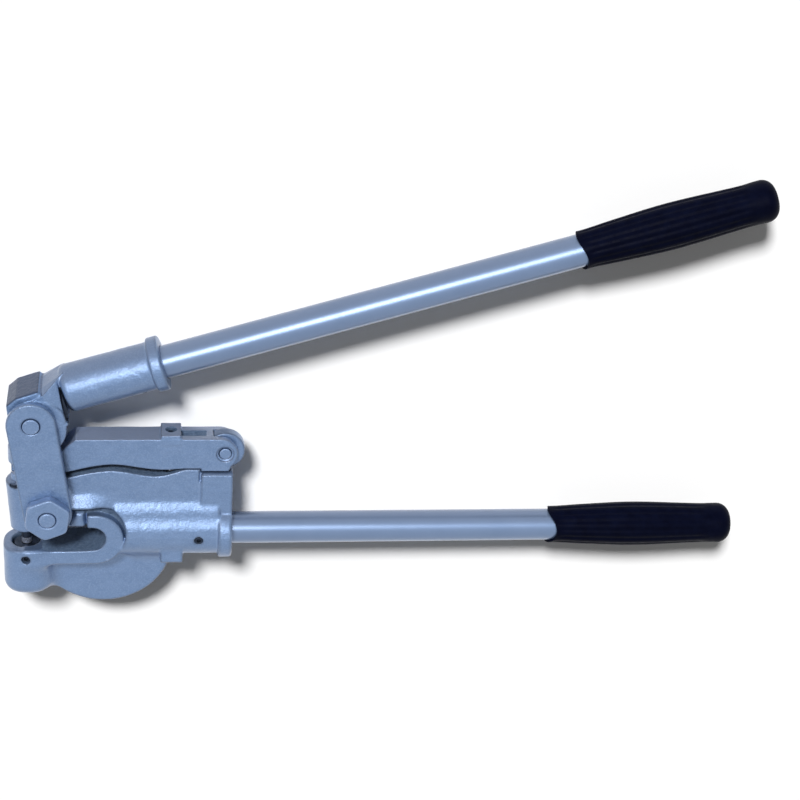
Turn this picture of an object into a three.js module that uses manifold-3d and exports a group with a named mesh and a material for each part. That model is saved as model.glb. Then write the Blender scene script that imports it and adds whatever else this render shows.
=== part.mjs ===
// Lever hole punch: a cast C-frame with a die, a punch driven by an eccentric hub on a long
// handle through a hinged pressure bar, and two side links that tie the hub to the frame.
//
// Millimetres. The tool lies on its side: X runs along the lower handle, Y from the die up
// through the punch, Z out of the side that faces up. While it is drawn, X = 0 is the punch
// axis, Y = 0 the lower handle's axis and Z = 0 the middle plane. At the end the whole tool
// is moved so that the origin is the centre of its bounding box's bottom.

import * as THREE from 'three';
import { mergeVertices } from 'three/addons/utils/BufferGeometryUtils.js';
import Module from 'manifold-3d';

const wasm = await Module();
wasm.setup();

// Clearances
const fitGap = 0.3;
const slideGap = 0.3;
const overrun = 5;

// Widths over the tool's middle plane, each counted from the plane to one face
const noseHalf = 18.7;
const rimHalf = 18;
const bodyHalf = 10.8;
const webHalf = 4;
const tongueHalf = 4.8;

// Linkage
const boltAt = { x: 18, y: 28.4 };
const pinAt = { x: 7.4, y: 106.3 };
const barPivotAt = { x: 154, y: 73.5 };
const hubThrow = 7;
const hubThrowAngle = THREE.MathUtils.degToRad(-56);
const handleAngle = THREE.MathUtils.degToRad(17.2);
const hubRadius = 22.5;
const hubAt = {
  x: pinAt.x + hubThrow * Math.cos(hubThrowAngle),
  y: pinAt.y + hubThrow * Math.sin(hubThrowAngle),
};

// Links and their pins
const linkHalfWidth = 18.6;
const linkThickness = 6;
const pivotRadius = 6.4;
const pinProud = 0.7;
const hexAcross = 32.6;
const hexTurn = THREE.MathUtils.degToRad(-8);
const hexThickness = 8;
const boltEndProud = 0.7;

// Handles: both are the same tube and grip
const tubeRadius = 12.7;
const tubeWall = 2.8;
const gripLength = 154.5;
const gripCap = 9;
const gripMouthCope = 6.7;
const gripMouthRadius = 14.9;
const gripNeckRadius = 16.4;
const gripBellyRadius = 18;
const gripWaistRadius = 16.3;
const gripBulbRadius = 16.9;
const gripEndRound = 11;
const gripNeckShare = 0.2;
const gripBellyShare = 0.47;
const gripWaistShare = 0.85;
const lowerReach = 572.9;
const upperReach = 584.2;

// Lower socket of the frame
const socketRadius = 20.3;
const socketStart = 67;
const socketEnd = 149.5;
const collarRadius = 23.6;
const collarWidth = 11;
const collarEnd = socketEnd + collarWidth;
const socketDepth = 70;
const socketBlend = 8;

// Upper socket of the handle head, along the handle from the hub centre
const upperAxisOffset = 18;
const upperSocketStart = 26.5;
const upperSocketEnd = 96;
const upperSocketRadius = 18.5;
const upperSocketRound = 3.5;
const upperCollarRadius = 21.2;
const upperCollarWidth = 9;
const upperSocketDepth = 52;
const headBlockRise = 29.5;
const headBlockShares = [
  [-0.685, 0.136], [0, -0.271], [0.732, 0.102], [0.481, 0.888],
  [0.42, 0.929], [0.359, 1.014], [-0.227, 0.993], [-0.522, 0.851],
];
const headTaperStart = 18;
const headNeckHalf = 13.5;
const headNeckDrop = 12;
const headNeckInset = 3;

// Throat and rim
const throatFloor = -9.4;
const throatRoof = 11.1;
const throatEndX = 51.5;
const rimCentreX = 53.7;
const rimRadius = 22.7;
const rimArmStartX = 47.6;
const rimGroove = 1.2;

// Nose and its barrel
const barrelTop = 47;
const barrelBottom = 3.8;
const barrelTopRadius = 14.6;
const barrelBottomRadius = 11.9;
const noseBossRadius = 17.2;
const noseFlareRadius = 27;
const noseStepHalf = 14;
const noseStepRise = 8;

// Die boss and the thin web
const dieBossRadius = 18.2;
const dieBossBottom = -49;
const dieBossChamfer = 6.5;
const webCentre = { x: 60, y: -13 };
const webRadius = 53.5;
const lugLeft = 104.4;
const lugRight = 121.9;
const lugBottom = -26.6;
const lugHalf = 9;

// Die, plunger and punch
const dieRadius = 10.4;
const dieTop = -11.3;
const dieHeight = 19;
const dieChamfer = 0.8;
const dieRelief = 0.9;
const dieLand = 5;
const slugHoleRadius = 7;
const punchRadius = 3.95;
const punchDieClearance = 0.15;
const punchAboveDie = 0.35;
const punchShankRadius = 5;
const punchShankLength = 20;
const plungerRadius = 7.2;
const plungerBottom = 6.2;
const plungerTop = 49;
const plungerNeckRadius = 4.6;
const buttonRadius = 8.2;
const buttonBottom = 57.4;
const buttonHeight = 6;
const buttonChamfer = 1.2;
const buttonSideGap = 1;
const buttonPlay = 0.8;

// Outline of the frame under the pressure bar
const frameShoulder = { x: 14.6, y: 53.3 };
const waveStart = { x: 31, y: 53.3 };
const waveHump = { x: 65.5, y: 59.4 };
const waveHollow = { x: 99.9, y: 54.2 };
const landStart = { x: 123, y: 60 };
const landEnd = 135.4;
const ledgeTop = 58.4;
const bodyFootY = 8;
const padProud = 1.5;
const padDrop = 1.4;
const padBottom = 18;

// Pressure bar
const barTop = 87;
const barSeatGap = 0.4;
const barSeatRight = 28.9;
const barRampRight = 39.3;
const barEndRadius = 12;
const barEndBottom = 49.4;
const waveGapStart = 4.5;
const waveGapHump = 5.3;
const waveGapHollow = 5.8;
const landGap = 0.65;
const ledgeGap = 1.6;
const barCheekRadius = 13.5;
const tongueRadius = 15.5;
const tongueGap = 0.5;
const barPinRadius = 4.6;
const barPinRecess = 1.6;
const barPinRecessRadius = 6.6;
const topLugLeft = 104.4;
const topLugRight = 120;
const topLugRise = 3.2;
const topRecessRight = 136;
const topRecessDepth = 2.2;
const topRecessHalf = 3.2;

// Stop screw and return spring between the bar and the frame
const springAt = 112.2;
const springPocketRadius = 6.2;
const springFoot = 45;
const springHead = 70;
const springWire = 1.1;
const springTurns = 7;
const springEndGap = 0.2;
const stopScrewRadius = 2;
const stopScrewFoot = 33;
const stopHeadRadius = 3.2;
const stopHeadHeight = 4;
const stopHeadSink = 2.2;
const stopTravel = 3;
const stopSideGap = 1.2;

// Set screws
const setScrewRadius = 3;
const setScrewLength = 7;
const smallScrewRadius = 2;
const screwHoleLength = 16;
const hexKeyShare = 0.55;
const lowerScrewShare = 0.374;
const lowerScrewX = collarEnd - lowerScrewShare * socketDepth;
const upperScrewShare = 0.404;
const upperScrewX = upperSocketEnd + upperCollarWidth - upperScrewShare * upperSocketDepth;
const dieScrewY = -16.8;
const punchScrewY = 16;
const punchScrewLength = 1.6;

// Facets of round parts, by radius
const weldDistance = 1e-4;
const largeRadius = 16;
const middleRadius = 7;
const largeSides = 48;
const middleSides = 32;
const smallSides = 20;
const arcSteps = 10;
const gripSides = 28;
const gripSteps = 9;

const paint = { color: 0x8b9cc4, roughness: 0.45, metalness: 0.55 };
const materials = {
  casting: new THREE.MeshStandardMaterial({ ...paint, roughness: 0.6 }),
  tube: new THREE.MeshStandardMaterial({ ...paint, color: 0x93a3c8 }),
  steel: new THREE.MeshStandardMaterial({ color: 0x8d919a, roughness: 0.35, metalness: 0.9 }),
  darkSteel: new THREE.MeshStandardMaterial({ color: 0x3a3d44, roughness: 0.45, metalness: 0.8 }),
  grip: new THREE.MeshStandardMaterial({ color: 0x0b0e1c, roughness: 0.5, metalness: 0 }),
};

function sidesFor(radius) {
  if (radius >= largeRadius) return largeSides;
  if (radius >= middleRadius) return middleSides;
  return smallSides;
}

function toSolid(geometry) {
  const bare = geometry.clone();
  bare.deleteAttribute('normal');
  bare.deleteAttribute('uv');
  const welded = mergeVertices(bare, weldDistance);
  return new wasm.Manifold(new wasm.Mesh({
    numProp: 3,
    vertProperties: new Float32Array(welded.attributes.position.array),
    triVerts: new Uint32Array(welded.index.array),
  }));
}

function toGeometry(solid) {
  const mesh = solid.getMesh();
  const geometry = new THREE.BufferGeometry();
  geometry.setAttribute('position', new THREE.BufferAttribute(mesh.vertProperties, 3));
  geometry.setIndex(new THREE.BufferAttribute(mesh.triVerts, 1));
  geometry.computeVertexNormals();
  return geometry;
}

function join(...solids) {
  return solids.reduce((whole, next) => whole.add(next));
}

function cut(solid, ...tools) {
  return tools.reduce((whole, tool) => whole.subtract(tool), solid);
}

// Round bars along each axis; the last two numbers place the centre line.
function alongZ(radius, from, to, x = 0, y = 0) {
  const bar = new THREE.CylinderGeometry(radius, radius, to - from, sidesFor(radius));
  return toSolid(bar.rotateX(Math.PI / 2).translate(x, y, (from + to) / 2));
}

function alongY(radius, from, to, x = 0, z = 0) {
  const bar = new THREE.CylinderGeometry(radius, radius, to - from, sidesFor(radius));
  return toSolid(bar.translate(x, (from + to) / 2, z));
}

function alongX(radius, from, to, y = 0, z = 0) {
  const bar = new THREE.CylinderGeometry(radius, radius, to - from, sidesFor(radius));
  return toSolid(bar.rotateZ(Math.PI / 2).translate((from + to) / 2, y, z));
}

function block(x0, x1, y0, y1, z0, z1) {
  const box = new THREE.BoxGeometry(x1 - x0, y1 - y0, z1 - z0);
  return toSolid(box.translate((x0 + x1) / 2, (y0 + y1) / 2, (z0 + z1) / 2));
}

// A plate whose outline lies in XY, centred on the middle plane.
function plate(shape, half) {
  const options = { depth: 2 * half, bevelEnabled: false, curveSegments: arcSteps };
  return toSolid(new THREE.ExtrudeGeometry(shape, options).translate(0, 0, -half));
}

// A body turned about Y from [radius, height] pairs that start and end on the axis.
function turned(profile, sides) {
  const points = profile.map(([radius, height]) => new THREE.Vector2(radius, height));
  return toSolid(new THREE.LatheGeometry(points, sides));
}

function moved(solid, { x = 0, y = 0, z = 0, turnX = 0, turnY = 0, turnZ = 0 }) {
  const place = new THREE.Object3D();
  place.position.set(x, y, z);
  place.rotation.set(turnX, turnY, turnZ);
  place.updateMatrix();
  return solid.transform(place.matrix.elements);
}

function outline(points) {
  return new THREE.Shape(points.map(([x, y]) => new THREE.Vector2(x, y)));
}

// The wavy line under the bar: the frame's top, or the bar's underside when gaps are added.
function wavePoints(gaps) {
  const knots = [
    new THREE.Vector2(waveStart.x, waveStart.y + gaps.start),
    new THREE.Vector2(waveHump.x, waveHump.y + gaps.hump),
    new THREE.Vector2(waveHollow.x, waveHollow.y + gaps.hollow),
    new THREE.Vector2(landStart.x, landStart.y + gaps.land),
  ];
  return new THREE.SplineCurve(knots).getPoints(2 * arcSteps).map((p) => [p.x, p.y]);
}

const noGaps = { start: 0, hump: 0, hollow: 0, land: 0 };
const barGaps = { start: waveGapStart, hump: waveGapHump, hollow: waveGapHollow, land: landGap };

function frameBody() {
  const shape = outline([
    [frameShoulder.x, bodyFootY],
    [collarEnd, bodyFootY],
    [collarEnd, ledgeTop],
    [landEnd, ledgeTop],
    [landEnd, landStart.y],
    ...wavePoints(noGaps).reverse(),
    [frameShoulder.x, frameShoulder.y],
  ]);
  const padTop = ledgeTop - padDrop;
  const pad = block(landEnd, collarEnd, padBottom, padTop, -bodyHalf - padProud, bodyHalf + padProud);
  return join(plate(shape, bodyHalf), pad);
}

// The web of material that runs from the socket's round side up into the flat body.
function socketRoot() {
  const rise = Math.sqrt((socketRadius + socketBlend) ** 2 - (bodyHalf + socketBlend) ** 2);
  const touch = Math.atan2(rise, bodyHalf + socketBlend);
  const shape = new THREE.Shape();
  shape.moveTo(-bodyHalf, rise);
  shape.absarc(-bodyHalf - socketBlend, rise, socketBlend, 0, -touch, true);
  shape.lineTo(0, 0);
  shape.absarc(bodyHalf + socketBlend, rise, socketBlend, Math.PI + touch, Math.PI, true);
  shape.closePath();
  const length = collarEnd - socketStart;
  const options = { depth: length, bevelEnabled: false, curveSegments: arcSteps };
  const root = new THREE.ExtrudeGeometry(shape, options);
  return toSolid(root.rotateY(Math.PI / 2).translate(socketStart, 0, 0));
}

function socket() {
  const round = join(
    alongX(socketRadius, socketStart, collarEnd),
    alongX(collarRadius, socketEnd, collarEnd),
    socketRoot(),
  );
  const half = collarRadius + overrun;
  const rimRoom = alongZ(rimRadius + rimGroove, -half, half, rimCentreX);
  return cut(round, rimRoom);
}

function throatRim() {
  const shape = new THREE.Shape();
  shape.moveTo(rimArmStartX, rimRadius);
  shape.lineTo(rimArmStartX, throatFloor);
  shape.lineTo(0, throatFloor);
  shape.lineTo(0, -rimRadius);
  shape.lineTo(rimCentreX, -rimRadius);
  shape.absarc(rimCentreX, 0, rimRadius, -Math.PI / 2, Math.PI / 2, false);
  shape.closePath();
  return plate(shape, rimHalf);
}

// The step of material between the nose and the rim's upper arm.
function noseStep() {
  return plate(outline([
    [boltAt.x, throatRoof],
    [rimArmStartX, throatRoof],
    [rimArmStartX, throatRoof + noseStepRise],
    [boltAt.x, boltAt.y],
  ]), noseStepHalf);
}

function throatSpace() {
  const middle = (throatRoof + throatFloor) / 2;
  const radius = (throatRoof - throatFloor) / 2;
  const shape = new THREE.Shape();
  shape.moveTo(-dieBossRadius - overrun, throatFloor);
  shape.lineTo(throatEndX, throatFloor);
  shape.absarc(throatEndX, middle, radius, -Math.PI / 2, Math.PI / 2, false);
  shape.lineTo(-dieBossRadius - overrun, throatRoof);
  shape.closePath();
  return plate(shape, collarRadius + overrun);
}

function barrel() {
  return turned([
    [0, barrelBottom],
    [barrelBottomRadius, barrelBottom],
    [barrelTopRadius, barrelTop],
    [0, barrelTop],
  ], largeSides);
}

function noseBoss() {
  const flare = turned([
    [0, -noseHalf],
    [noseBossRadius, -noseHalf],
    [noseFlareRadius, -bodyHalf],
    [noseFlareRadius, bodyHalf],
    [noseBossRadius, noseHalf],
    [0, noseHalf],
  ], largeSides);
  const placed = moved(flare, { x: boltAt.x, y: boltAt.y, turnX: Math.PI / 2 });
  const right = boltAt.x + noseFlareRadius + overrun;
  const half = noseHalf + overrun;
  return placed.intersect(join(
    block(0, right, throatRoof, barrelTop, -half, half),
    block(frameShoulder.x, right, throatRoof, frameShoulder.y, -half, half),
  ));
}

function dieBoss() {
  return turned([
    [0, dieBossBottom],
    [dieBossRadius - dieBossChamfer, dieBossBottom],
    [dieBossRadius, dieBossBottom + dieBossChamfer],
    [dieBossRadius, throatFloor],
    [0, throatFloor],
  ], largeSides);
}

function web() {
  const shape = new THREE.Shape();
  shape.absarc(webCentre.x, webCentre.y, webRadius, Math.PI, 2 * Math.PI, false);
  shape.closePath();
  return plate(shape, webHalf);
}

function pivotTongue() {
  const left = barPivotAt.x - tongueRadius + overrun;
  const neck = block(left, barPivotAt.x, ledgeTop - overrun, barPivotAt.y, -tongueHalf, tongueHalf);
  return join(neck, alongZ(tongueRadius, -tongueHalf, tongueHalf, barPivotAt.x, barPivotAt.y));
}

function frameCasting() {
  const foot = block(lugLeft, lugRight, lugBottom, 0, -lugHalf, lugHalf);
  const solid = join(frameBody(), socket(), throatRim(), noseBoss(), noseStep(), web(), foot);
  const lower = cut(solid, throatSpace());
  const whole = join(lower, barrel(), dieBoss(), pivotTongue());
  return cut(
    whole,
    alongX(tubeRadius + fitGap, collarEnd - socketDepth, collarEnd + overrun),
    alongY(plungerRadius + slideGap, barrelBottom - overrun, barrelTop + overrun),
    alongZ(pivotRadius + fitGap, -noseHalf - overrun, noseHalf + overrun, boltAt.x, boltAt.y),
    alongZ(barPinRadius + fitGap, -bodyHalf, bodyHalf, barPivotAt.x, barPivotAt.y),
    alongY(dieRadius + fitGap, dieTop - dieHeight - fitGap, throatFloor + overrun),
    alongY(slugHoleRadius, dieBossBottom - overrun, dieTop - dieHeight),
    alongY(springPocketRadius, springFoot, waveHump.y + overrun, springAt),
    alongY(stopScrewRadius + fitGap, stopScrewFoot - fitGap, springFoot + overrun, springAt),
    moved(screwHole(setScrewRadius), { x: lowerScrewX, z: tubeRadius, turnX: Math.PI / 2 }),
    moved(screwHole(setScrewRadius), { y: dieScrewY, z: dieRadius, turnX: Math.PI / 2 }),
  );
}

// A hole for a set screw, drawn along +Y from the clamped part outwards.
function screwHole(radius) {
  return alongY(radius + fitGap, 0, screwHoleLength);
}

// A set screw along +Y with its tip at 0 and a hexagon socket in its outer end.
function setScrew(radius, length) {
  const key = new THREE.CylinderGeometry(radius * hexKeyShare, radius * hexKeyShare, length, 6);
  const socketDepthHere = length / 2;
  const hole = toSolid(key.translate(0, length / 2 + length - socketDepthHere, 0));
  return cut(alongY(radius, 0, length), hole);
}

function die() {
  const bottom = dieTop - dieHeight;
  const bore = punchRadius + punchDieClearance;
  const body = turned([
    [0, bottom],
    [dieRadius, bottom],
    [dieRadius, dieTop - dieChamfer],
    [dieRadius - dieChamfer, dieTop],
    [0, dieTop],
  ], middleSides);
  return cut(
    body,
    alongY(bore, bottom - overrun, dieTop + overrun),
    alongY(bore + dieRelief, bottom - overrun, dieTop - dieLand),
  );
}

function plunger() {
  const body = turned([
    [0, plungerBottom],
    [plungerRadius, plungerBottom],
    [plungerRadius, plungerTop],
    [plungerNeckRadius, plungerTop],
    [plungerNeckRadius, buttonBottom],
    [buttonRadius, buttonBottom],
    [buttonRadius, buttonBottom + buttonHeight - buttonChamfer],
    [buttonRadius - buttonChamfer, buttonBottom + buttonHeight],
    [0, buttonBottom + buttonHeight],
  ], middleSides);
  const pocketTop = plungerBottom + punchShankLength + fitGap;
  return cut(
    body,
    alongY(punchShankRadius + fitGap, plungerBottom - overrun, pocketTop),
    moved(screwHole(smallScrewRadius), { y: punchScrewY, z: punchShankRadius, turnX: Math.PI / 2 }),
  );
}

function punch() {
  const tip = dieTop + punchAboveDie;
  const shankTop = plungerBottom + punchShankLength;
  return turned([
    [0, tip],
    [punchRadius, tip],
    [punchRadius, plungerBottom],
    [punchShankRadius, plungerBottom],
    [punchShankRadius, shankTop],
    [0, shankTop],
  ], smallSides);
}

function pressureBar() {
  const seat = hubAt.y - hubRadius - barSeatGap;
  const pivot = barPivotAt;
  const underside = ledgeTop + ledgeGap;
  const shape = new THREE.Shape();
  shape.moveTo(0, seat);
  shape.lineTo(0, waveStart.y + waveGapStart);
  wavePoints(barGaps).forEach(([x, y]) => shape.lineTo(x, y));
  shape.lineTo(landEnd, landStart.y + landGap);
  shape.lineTo(landEnd, underside);
  shape.lineTo(pivot.x, pivot.y - barCheekRadius);
  shape.absarc(pivot.x, pivot.y, barCheekRadius, -Math.PI / 2, Math.PI / 2, false);
  shape.lineTo(barRampRight, barTop);
  shape.lineTo(barSeatRight, seat);
  shape.closePath();
  const lug = block(topLugLeft, topLugRight, barTop - overrun, barTop + topLugRise, -bodyHalf, bodyHalf);
  const bar = join(plate(shape, bodyHalf), lug, alongY(barEndRadius, barEndBottom, seat));
  const fork = join(
    alongZ(tongueRadius + tongueGap, -tongueHalf - fitGap, tongueHalf + fitGap, pivot.x, pivot.y),
    block(pivot.x, pivot.x + tongueRadius + overrun, landStart.y - overrun, barTop + overrun,
      -tongueHalf - fitGap, tongueHalf + fitGap),
    block(pivot.x - tongueRadius, pivot.x, ledgeTop, pivot.y, -tongueHalf - fitGap, tongueHalf + fitGap),
  );
  const slotFloor = buttonBottom - buttonPlay;
  const slotRoof = buttonBottom + buttonHeight + buttonPlay;
  const neckHalf = plungerNeckRadius + buttonSideGap;
  const buttonHalf = buttonRadius + buttonSideGap;
  const openEnd = -barEndRadius - overrun;
  const headFloor = barTop + topLugRise - stopHeadSink - stopHeadHeight - stopTravel;
  return cut(
    bar,
    fork,
    block(openEnd, 0, slotFloor, slotRoof, -buttonHalf, buttonHalf),
    alongY(buttonHalf, slotFloor, slotRoof),
    block(openEnd, 0, barEndBottom - overrun, buttonBottom, -neckHalf, neckHalf),
    alongY(neckHalf, barEndBottom - overrun, buttonBottom),
    alongZ(barPinRadius + fitGap, -bodyHalf - overrun, bodyHalf + overrun, pivot.x, pivot.y),
    alongZ(barPinRecessRadius, bodyHalf - barPinRecess, bodyHalf + overrun, pivot.x, pivot.y),
    alongZ(barPinRecessRadius, -bodyHalf - overrun, barPinRecess - bodyHalf, pivot.x, pivot.y),
    alongY(springPocketRadius, landStart.y - 2 * overrun, springHead, springAt),
    alongY(stopScrewRadius + stopSideGap, springHead - overrun, barTop + topLugRise, springAt),
    alongY(stopHeadRadius + stopSideGap, headFloor, barTop + topLugRise + overrun, springAt),
    block(topLugRight, topRecessRight, barTop - topRecessDepth, barTop + overrun,
      -topRecessHalf, topRecessHalf),
  );
}

function barPivotPin() {
  const half = bodyHalf - barPinRecess / 2;
  return alongZ(barPinRadius, -half, half);
}

function barStopScrew() {
  const headTop = barTop + topLugRise - stopHeadSink;
  const headBottom = headTop - stopHeadHeight;
  const body = join(
    alongY(stopScrewRadius, stopScrewFoot, headBottom + fitGap),
    alongY(stopHeadRadius, headBottom, headTop),
  );
  const keyRadius = stopHeadRadius * hexKeyShare;
  const key = new THREE.CylinderGeometry(keyRadius, keyRadius, stopHeadHeight, 6);
  return cut(body, toSolid(key.translate(0, headTop, 0)));
}

// A round-wire spring: one tube along a helix, closed at both ends.
function returnSpring() {
  const wireSides = 5;
  const stepsPerTurn = 8;
  const coil = springPocketRadius - springWire - fitGap;
  const low = springFoot + springWire + springEndGap;
  const high = springHead - springWire - springEndGap;
  const steps = springTurns * stepsPerTurn;
  const positions = [];
  const centres = [];
  for (let step = 0; step <= steps; step += 1) {
    const turn = (2 * Math.PI * step) / stepsPerTurn;
    const height = low + ((high - low) * step) / steps;
    centres.push(new THREE.Vector3(coil * Math.cos(turn), height, coil * Math.sin(turn)));
    for (let side = 0; side < wireSides; side += 1) {
      const angle = (2 * Math.PI * side) / wireSides;
      const radius = coil + springWire * Math.cos(angle);
      const level = height + springWire * Math.sin(angle);
      positions.push(radius * Math.cos(turn), level, radius * Math.sin(turn));
    }
  }
  const index = [];
  for (let step = 0; step < steps; step += 1) {
    for (let side = 0; side < wireSides; side += 1) {
      const a = step * wireSides + side;
      const b = step * wireSides + ((side + 1) % wireSides);
      index.push(a, b, a + wireSides, b, b + wireSides, a + wireSides);
    }
  }
  const last = steps * wireSides;
  for (let side = 1; side < wireSides - 1; side += 1) {
    index.push(0, side + 1, side);
    index.push(last, last + side, last + side + 1);
  }
  const apart = centres.slice(stepsPerTurn / 2).flatMap((far, step) => (
    centres.slice(0, step + 1).map((near) => far.distanceTo(near))
  ));
  console.log('least gap between the coils, mm:', (Math.min(...apart) - 2 * springWire).toFixed(2));
  const geometry = new THREE.BufferGeometry();
  geometry.setAttribute('position', new THREE.Float32BufferAttribute(positions, 3));
  geometry.setIndex(index);
  geometry.computeVertexNormals();
  return geometry;
}

// A link drawn with its lower hole at the origin and its upper hole along +Y.
function link(centreDistance) {
  const shape = new THREE.Shape();
  shape.moveTo(linkHalfWidth, 0);
  shape.lineTo(linkHalfWidth, centreDistance);
  shape.absarc(0, centreDistance, linkHalfWidth, 0, Math.PI, false);
  shape.lineTo(-linkHalfWidth, 0);
  shape.absarc(0, 0, linkHalfWidth, Math.PI, 2 * Math.PI, false);
  shape.closePath();
  const half = linkThickness / 2;
  return cut(
    plate(shape, half),
    alongZ(pivotRadius + fitGap, -half - overrun, half + overrun),
    alongZ(pivotRadius + fitGap, -half - overrun, half + overrun, 0, centreDistance),
  );
}

function hexagon(from, to) {
  const corner = hexAcross / 2 / Math.cos(Math.PI / 6);
  const hex = new THREE.CylinderGeometry(corner, corner, to - from, 6);
  return toSolid(hex.rotateX(Math.PI / 2).translate(0, 0, (from + to) / 2));
}

const linkInner = noseHalf + fitGap;
const linkOuter = linkInner + linkThickness;
const hexInner = linkOuter + fitGap;
const hexOuter = hexInner + hexThickness;

function linkBolt() {
  const shank = alongZ(pivotRadius, -hexInner - fitGap, hexOuter + boltEndProud);
  return join(shank, hexagon(-hexOuter, -hexInner));
}

function linkBoltNut() {
  const bore = alongZ(pivotRadius + fitGap, hexInner - overrun, hexOuter + overrun);
  return cut(hexagon(hexInner, hexOuter), bore);
}

// Head of the upper handle, with the hub centre at the origin and the handle along +X.
function handleHead() {
  const axis = upperAxisOffset;
  const socketMouth = upperSocketEnd + upperCollarWidth;
  const corners = headBlockShares.map(([x, y]) => [x * headBlockRise, y * headBlockRise]);
  const hub = join(plate(outline(corners), noseHalf), alongZ(hubRadius, -noseHalf, noseHalf));
  const neckEnd = upperSocketStart + upperSocketRound;
  const neckSide = plate(outline([
    [0, -headNeckDrop],
    [upperSocketStart, axis - upperSocketRadius + headNeckInset],
    [neckEnd, axis - upperSocketRadius + headNeckInset],
    [neckEnd, axis + upperSocketRadius - headNeckInset],
    [upperSocketStart, axis + upperSocketRadius - headNeckInset],
    [0, headBlockRise - 2 * headNeckInset],
  ]), noseHalf);
  const neckPlan = plate(outline([
    [0, -noseHalf],
    [headTaperStart, -noseHalf],
    [neckEnd, -headNeckHalf],
    [neckEnd, headNeckHalf],
    [headTaperStart, noseHalf],
    [0, noseHalf],
  ]), axis + upperSocketRadius);
  const neck = neckSide.intersect(moved(neckPlan, { turnX: Math.PI / 2 }));
  const socketSleeve = turned([
    [0, upperSocketStart],
    [upperSocketRadius - upperSocketRound, upperSocketStart],
    [upperSocketRadius, upperSocketStart + upperSocketRound],
    [upperSocketRadius, upperSocketEnd],
    [upperCollarRadius, upperSocketEnd],
    [upperCollarRadius, socketMouth],
    [0, socketMouth],
  ], largeSides);
  const pin = new THREE.Vector2(-hubThrow, 0)
    .rotateAround(new THREE.Vector2(), hubThrowAngle - handleAngle);
  return cut(
    join(hub, neck, moved(socketSleeve, { y: axis, turnZ: -Math.PI / 2 })),
    alongX(tubeRadius + fitGap, socketMouth - upperSocketDepth, socketMouth + overrun, axis),
    alongZ(pivotRadius + fitGap, -noseHalf - overrun, noseHalf + overrun, pin.x, pin.y),
    moved(screwHole(setScrewRadius), { x: upperScrewX, y: axis - tubeRadius, turnZ: Math.PI }),
  );
}

function handleTube(length) {
  return cut(
    alongX(tubeRadius, 0, length),
    alongX(tubeRadius - tubeWall, -overrun, length + overrun),
  );
}

// A grip with its mouth at x = 0; the mouth is coped so that its front and back sit deeper.
function grip() {
  const bore = tubeRadius + fitGap;
  const boreEnd = gripLength - gripCap;
  const outside = new THREE.SplineCurve([
    new THREE.Vector2(gripMouthRadius, 0),
    new THREE.Vector2(gripNeckRadius, gripLength * gripNeckShare),
    new THREE.Vector2(gripBellyRadius, gripLength * gripBellyShare),
    new THREE.Vector2(gripWaistRadius, gripLength * gripWaistShare),
    new THREE.Vector2(gripBulbRadius, gripLength - gripEndRound),
  ]).getPoints(gripSteps).map((p) => [p.x, p.y]);
  const roundSteps = 4;
  const roundEnd = [];
  for (let step = 1; step <= roundSteps; step += 1) {
    const angle = (Math.PI / 2) * (step / roundSteps);
    roundEnd.push([
      gripBulbRadius - gripEndRound + gripEndRound * Math.cos(angle),
      gripLength - gripEndRound + gripEndRound * Math.sin(angle),
    ]);
  }
  const body = turned([[0, 0], ...outside, ...roundEnd, [0, gripLength]], gripSides);
  const lying = moved(body, { turnZ: -Math.PI / 2 });
  const cope = (gripMouthRadius ** 2 + gripMouthCope ** 2) / (2 * gripMouthCope);
  return cut(
    lying,
    alongX(bore, -overrun, boreEnd),
    alongZ(cope, -gripBellyRadius - overrun, gripBellyRadius + overrun, gripMouthCope - cope),
  );
}

function piece(name, shape, material, place = {}) {
  const geometry = shape.isBufferGeometry ? shape : toGeometry(shape);
  const mesh = new THREE.Mesh(geometry, material);
  mesh.name = name;
  mesh.position.set(place.x ?? 0, place.y ?? 0, place.z ?? 0);
  mesh.rotation.set(place.turnX ?? 0, place.turnY ?? 0, place.turnZ ?? 0);
  return mesh;
}

function frameGroup() {
  const group = new THREE.Group();
  const lowerTubeStart = collarEnd - socketDepth + fitGap;
  const lowerGripStart = lowerReach - gripLength;
  const tubeEnd = lowerReach - gripCap - fitGap;
  group.add(
    piece('frame_casting', frameCasting(), materials.casting),
    piece('lower_handle_tube', handleTube(tubeEnd - lowerTubeStart), materials.tube, { x: lowerTubeStart }),
    piece('lower_grip', grip(), materials.grip, { x: lowerGripStart }),
    piece('lower_socket_screw', setScrew(setScrewRadius, setScrewLength), materials.darkSteel, {
      x: lowerScrewX,
      z: tubeRadius + fitGap,
      turnX: Math.PI / 2,
    }),
    piece('die', die(), materials.darkSteel),
    piece('die_set_screw', setScrew(setScrewRadius, setScrewLength), materials.darkSteel, {
      y: dieScrewY,
      z: dieRadius + fitGap,
      turnX: Math.PI / 2,
    }),
    piece('link_bolt', linkBolt(), materials.casting, { ...boltAt, turnZ: hexTurn }),
    piece('link_bolt_nut', linkBoltNut(), materials.casting, { ...boltAt, turnZ: hexTurn }),
    piece('bar_pivot_pin', barPivotPin(), materials.steel, barPivotAt),
    piece('bar_stop_screw', barStopScrew(), materials.darkSteel, { x: springAt }),
    piece('return_spring', returnSpring(), materials.steel, { x: springAt }),
  );
  return group;
}

function plungerGroup() {
  const group = new THREE.Group();
  group.add(
    piece('plunger', plunger(), materials.steel),
    piece('punch', punch(), materials.steel),
    piece('punch_set_screw', alongY(smallScrewRadius, 0, punchScrewLength), materials.darkSteel, {
      y: punchScrewY,
      z: punchShankRadius + fitGap,
      turnX: Math.PI / 2,
    }),
  );
  return group;
}

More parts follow.
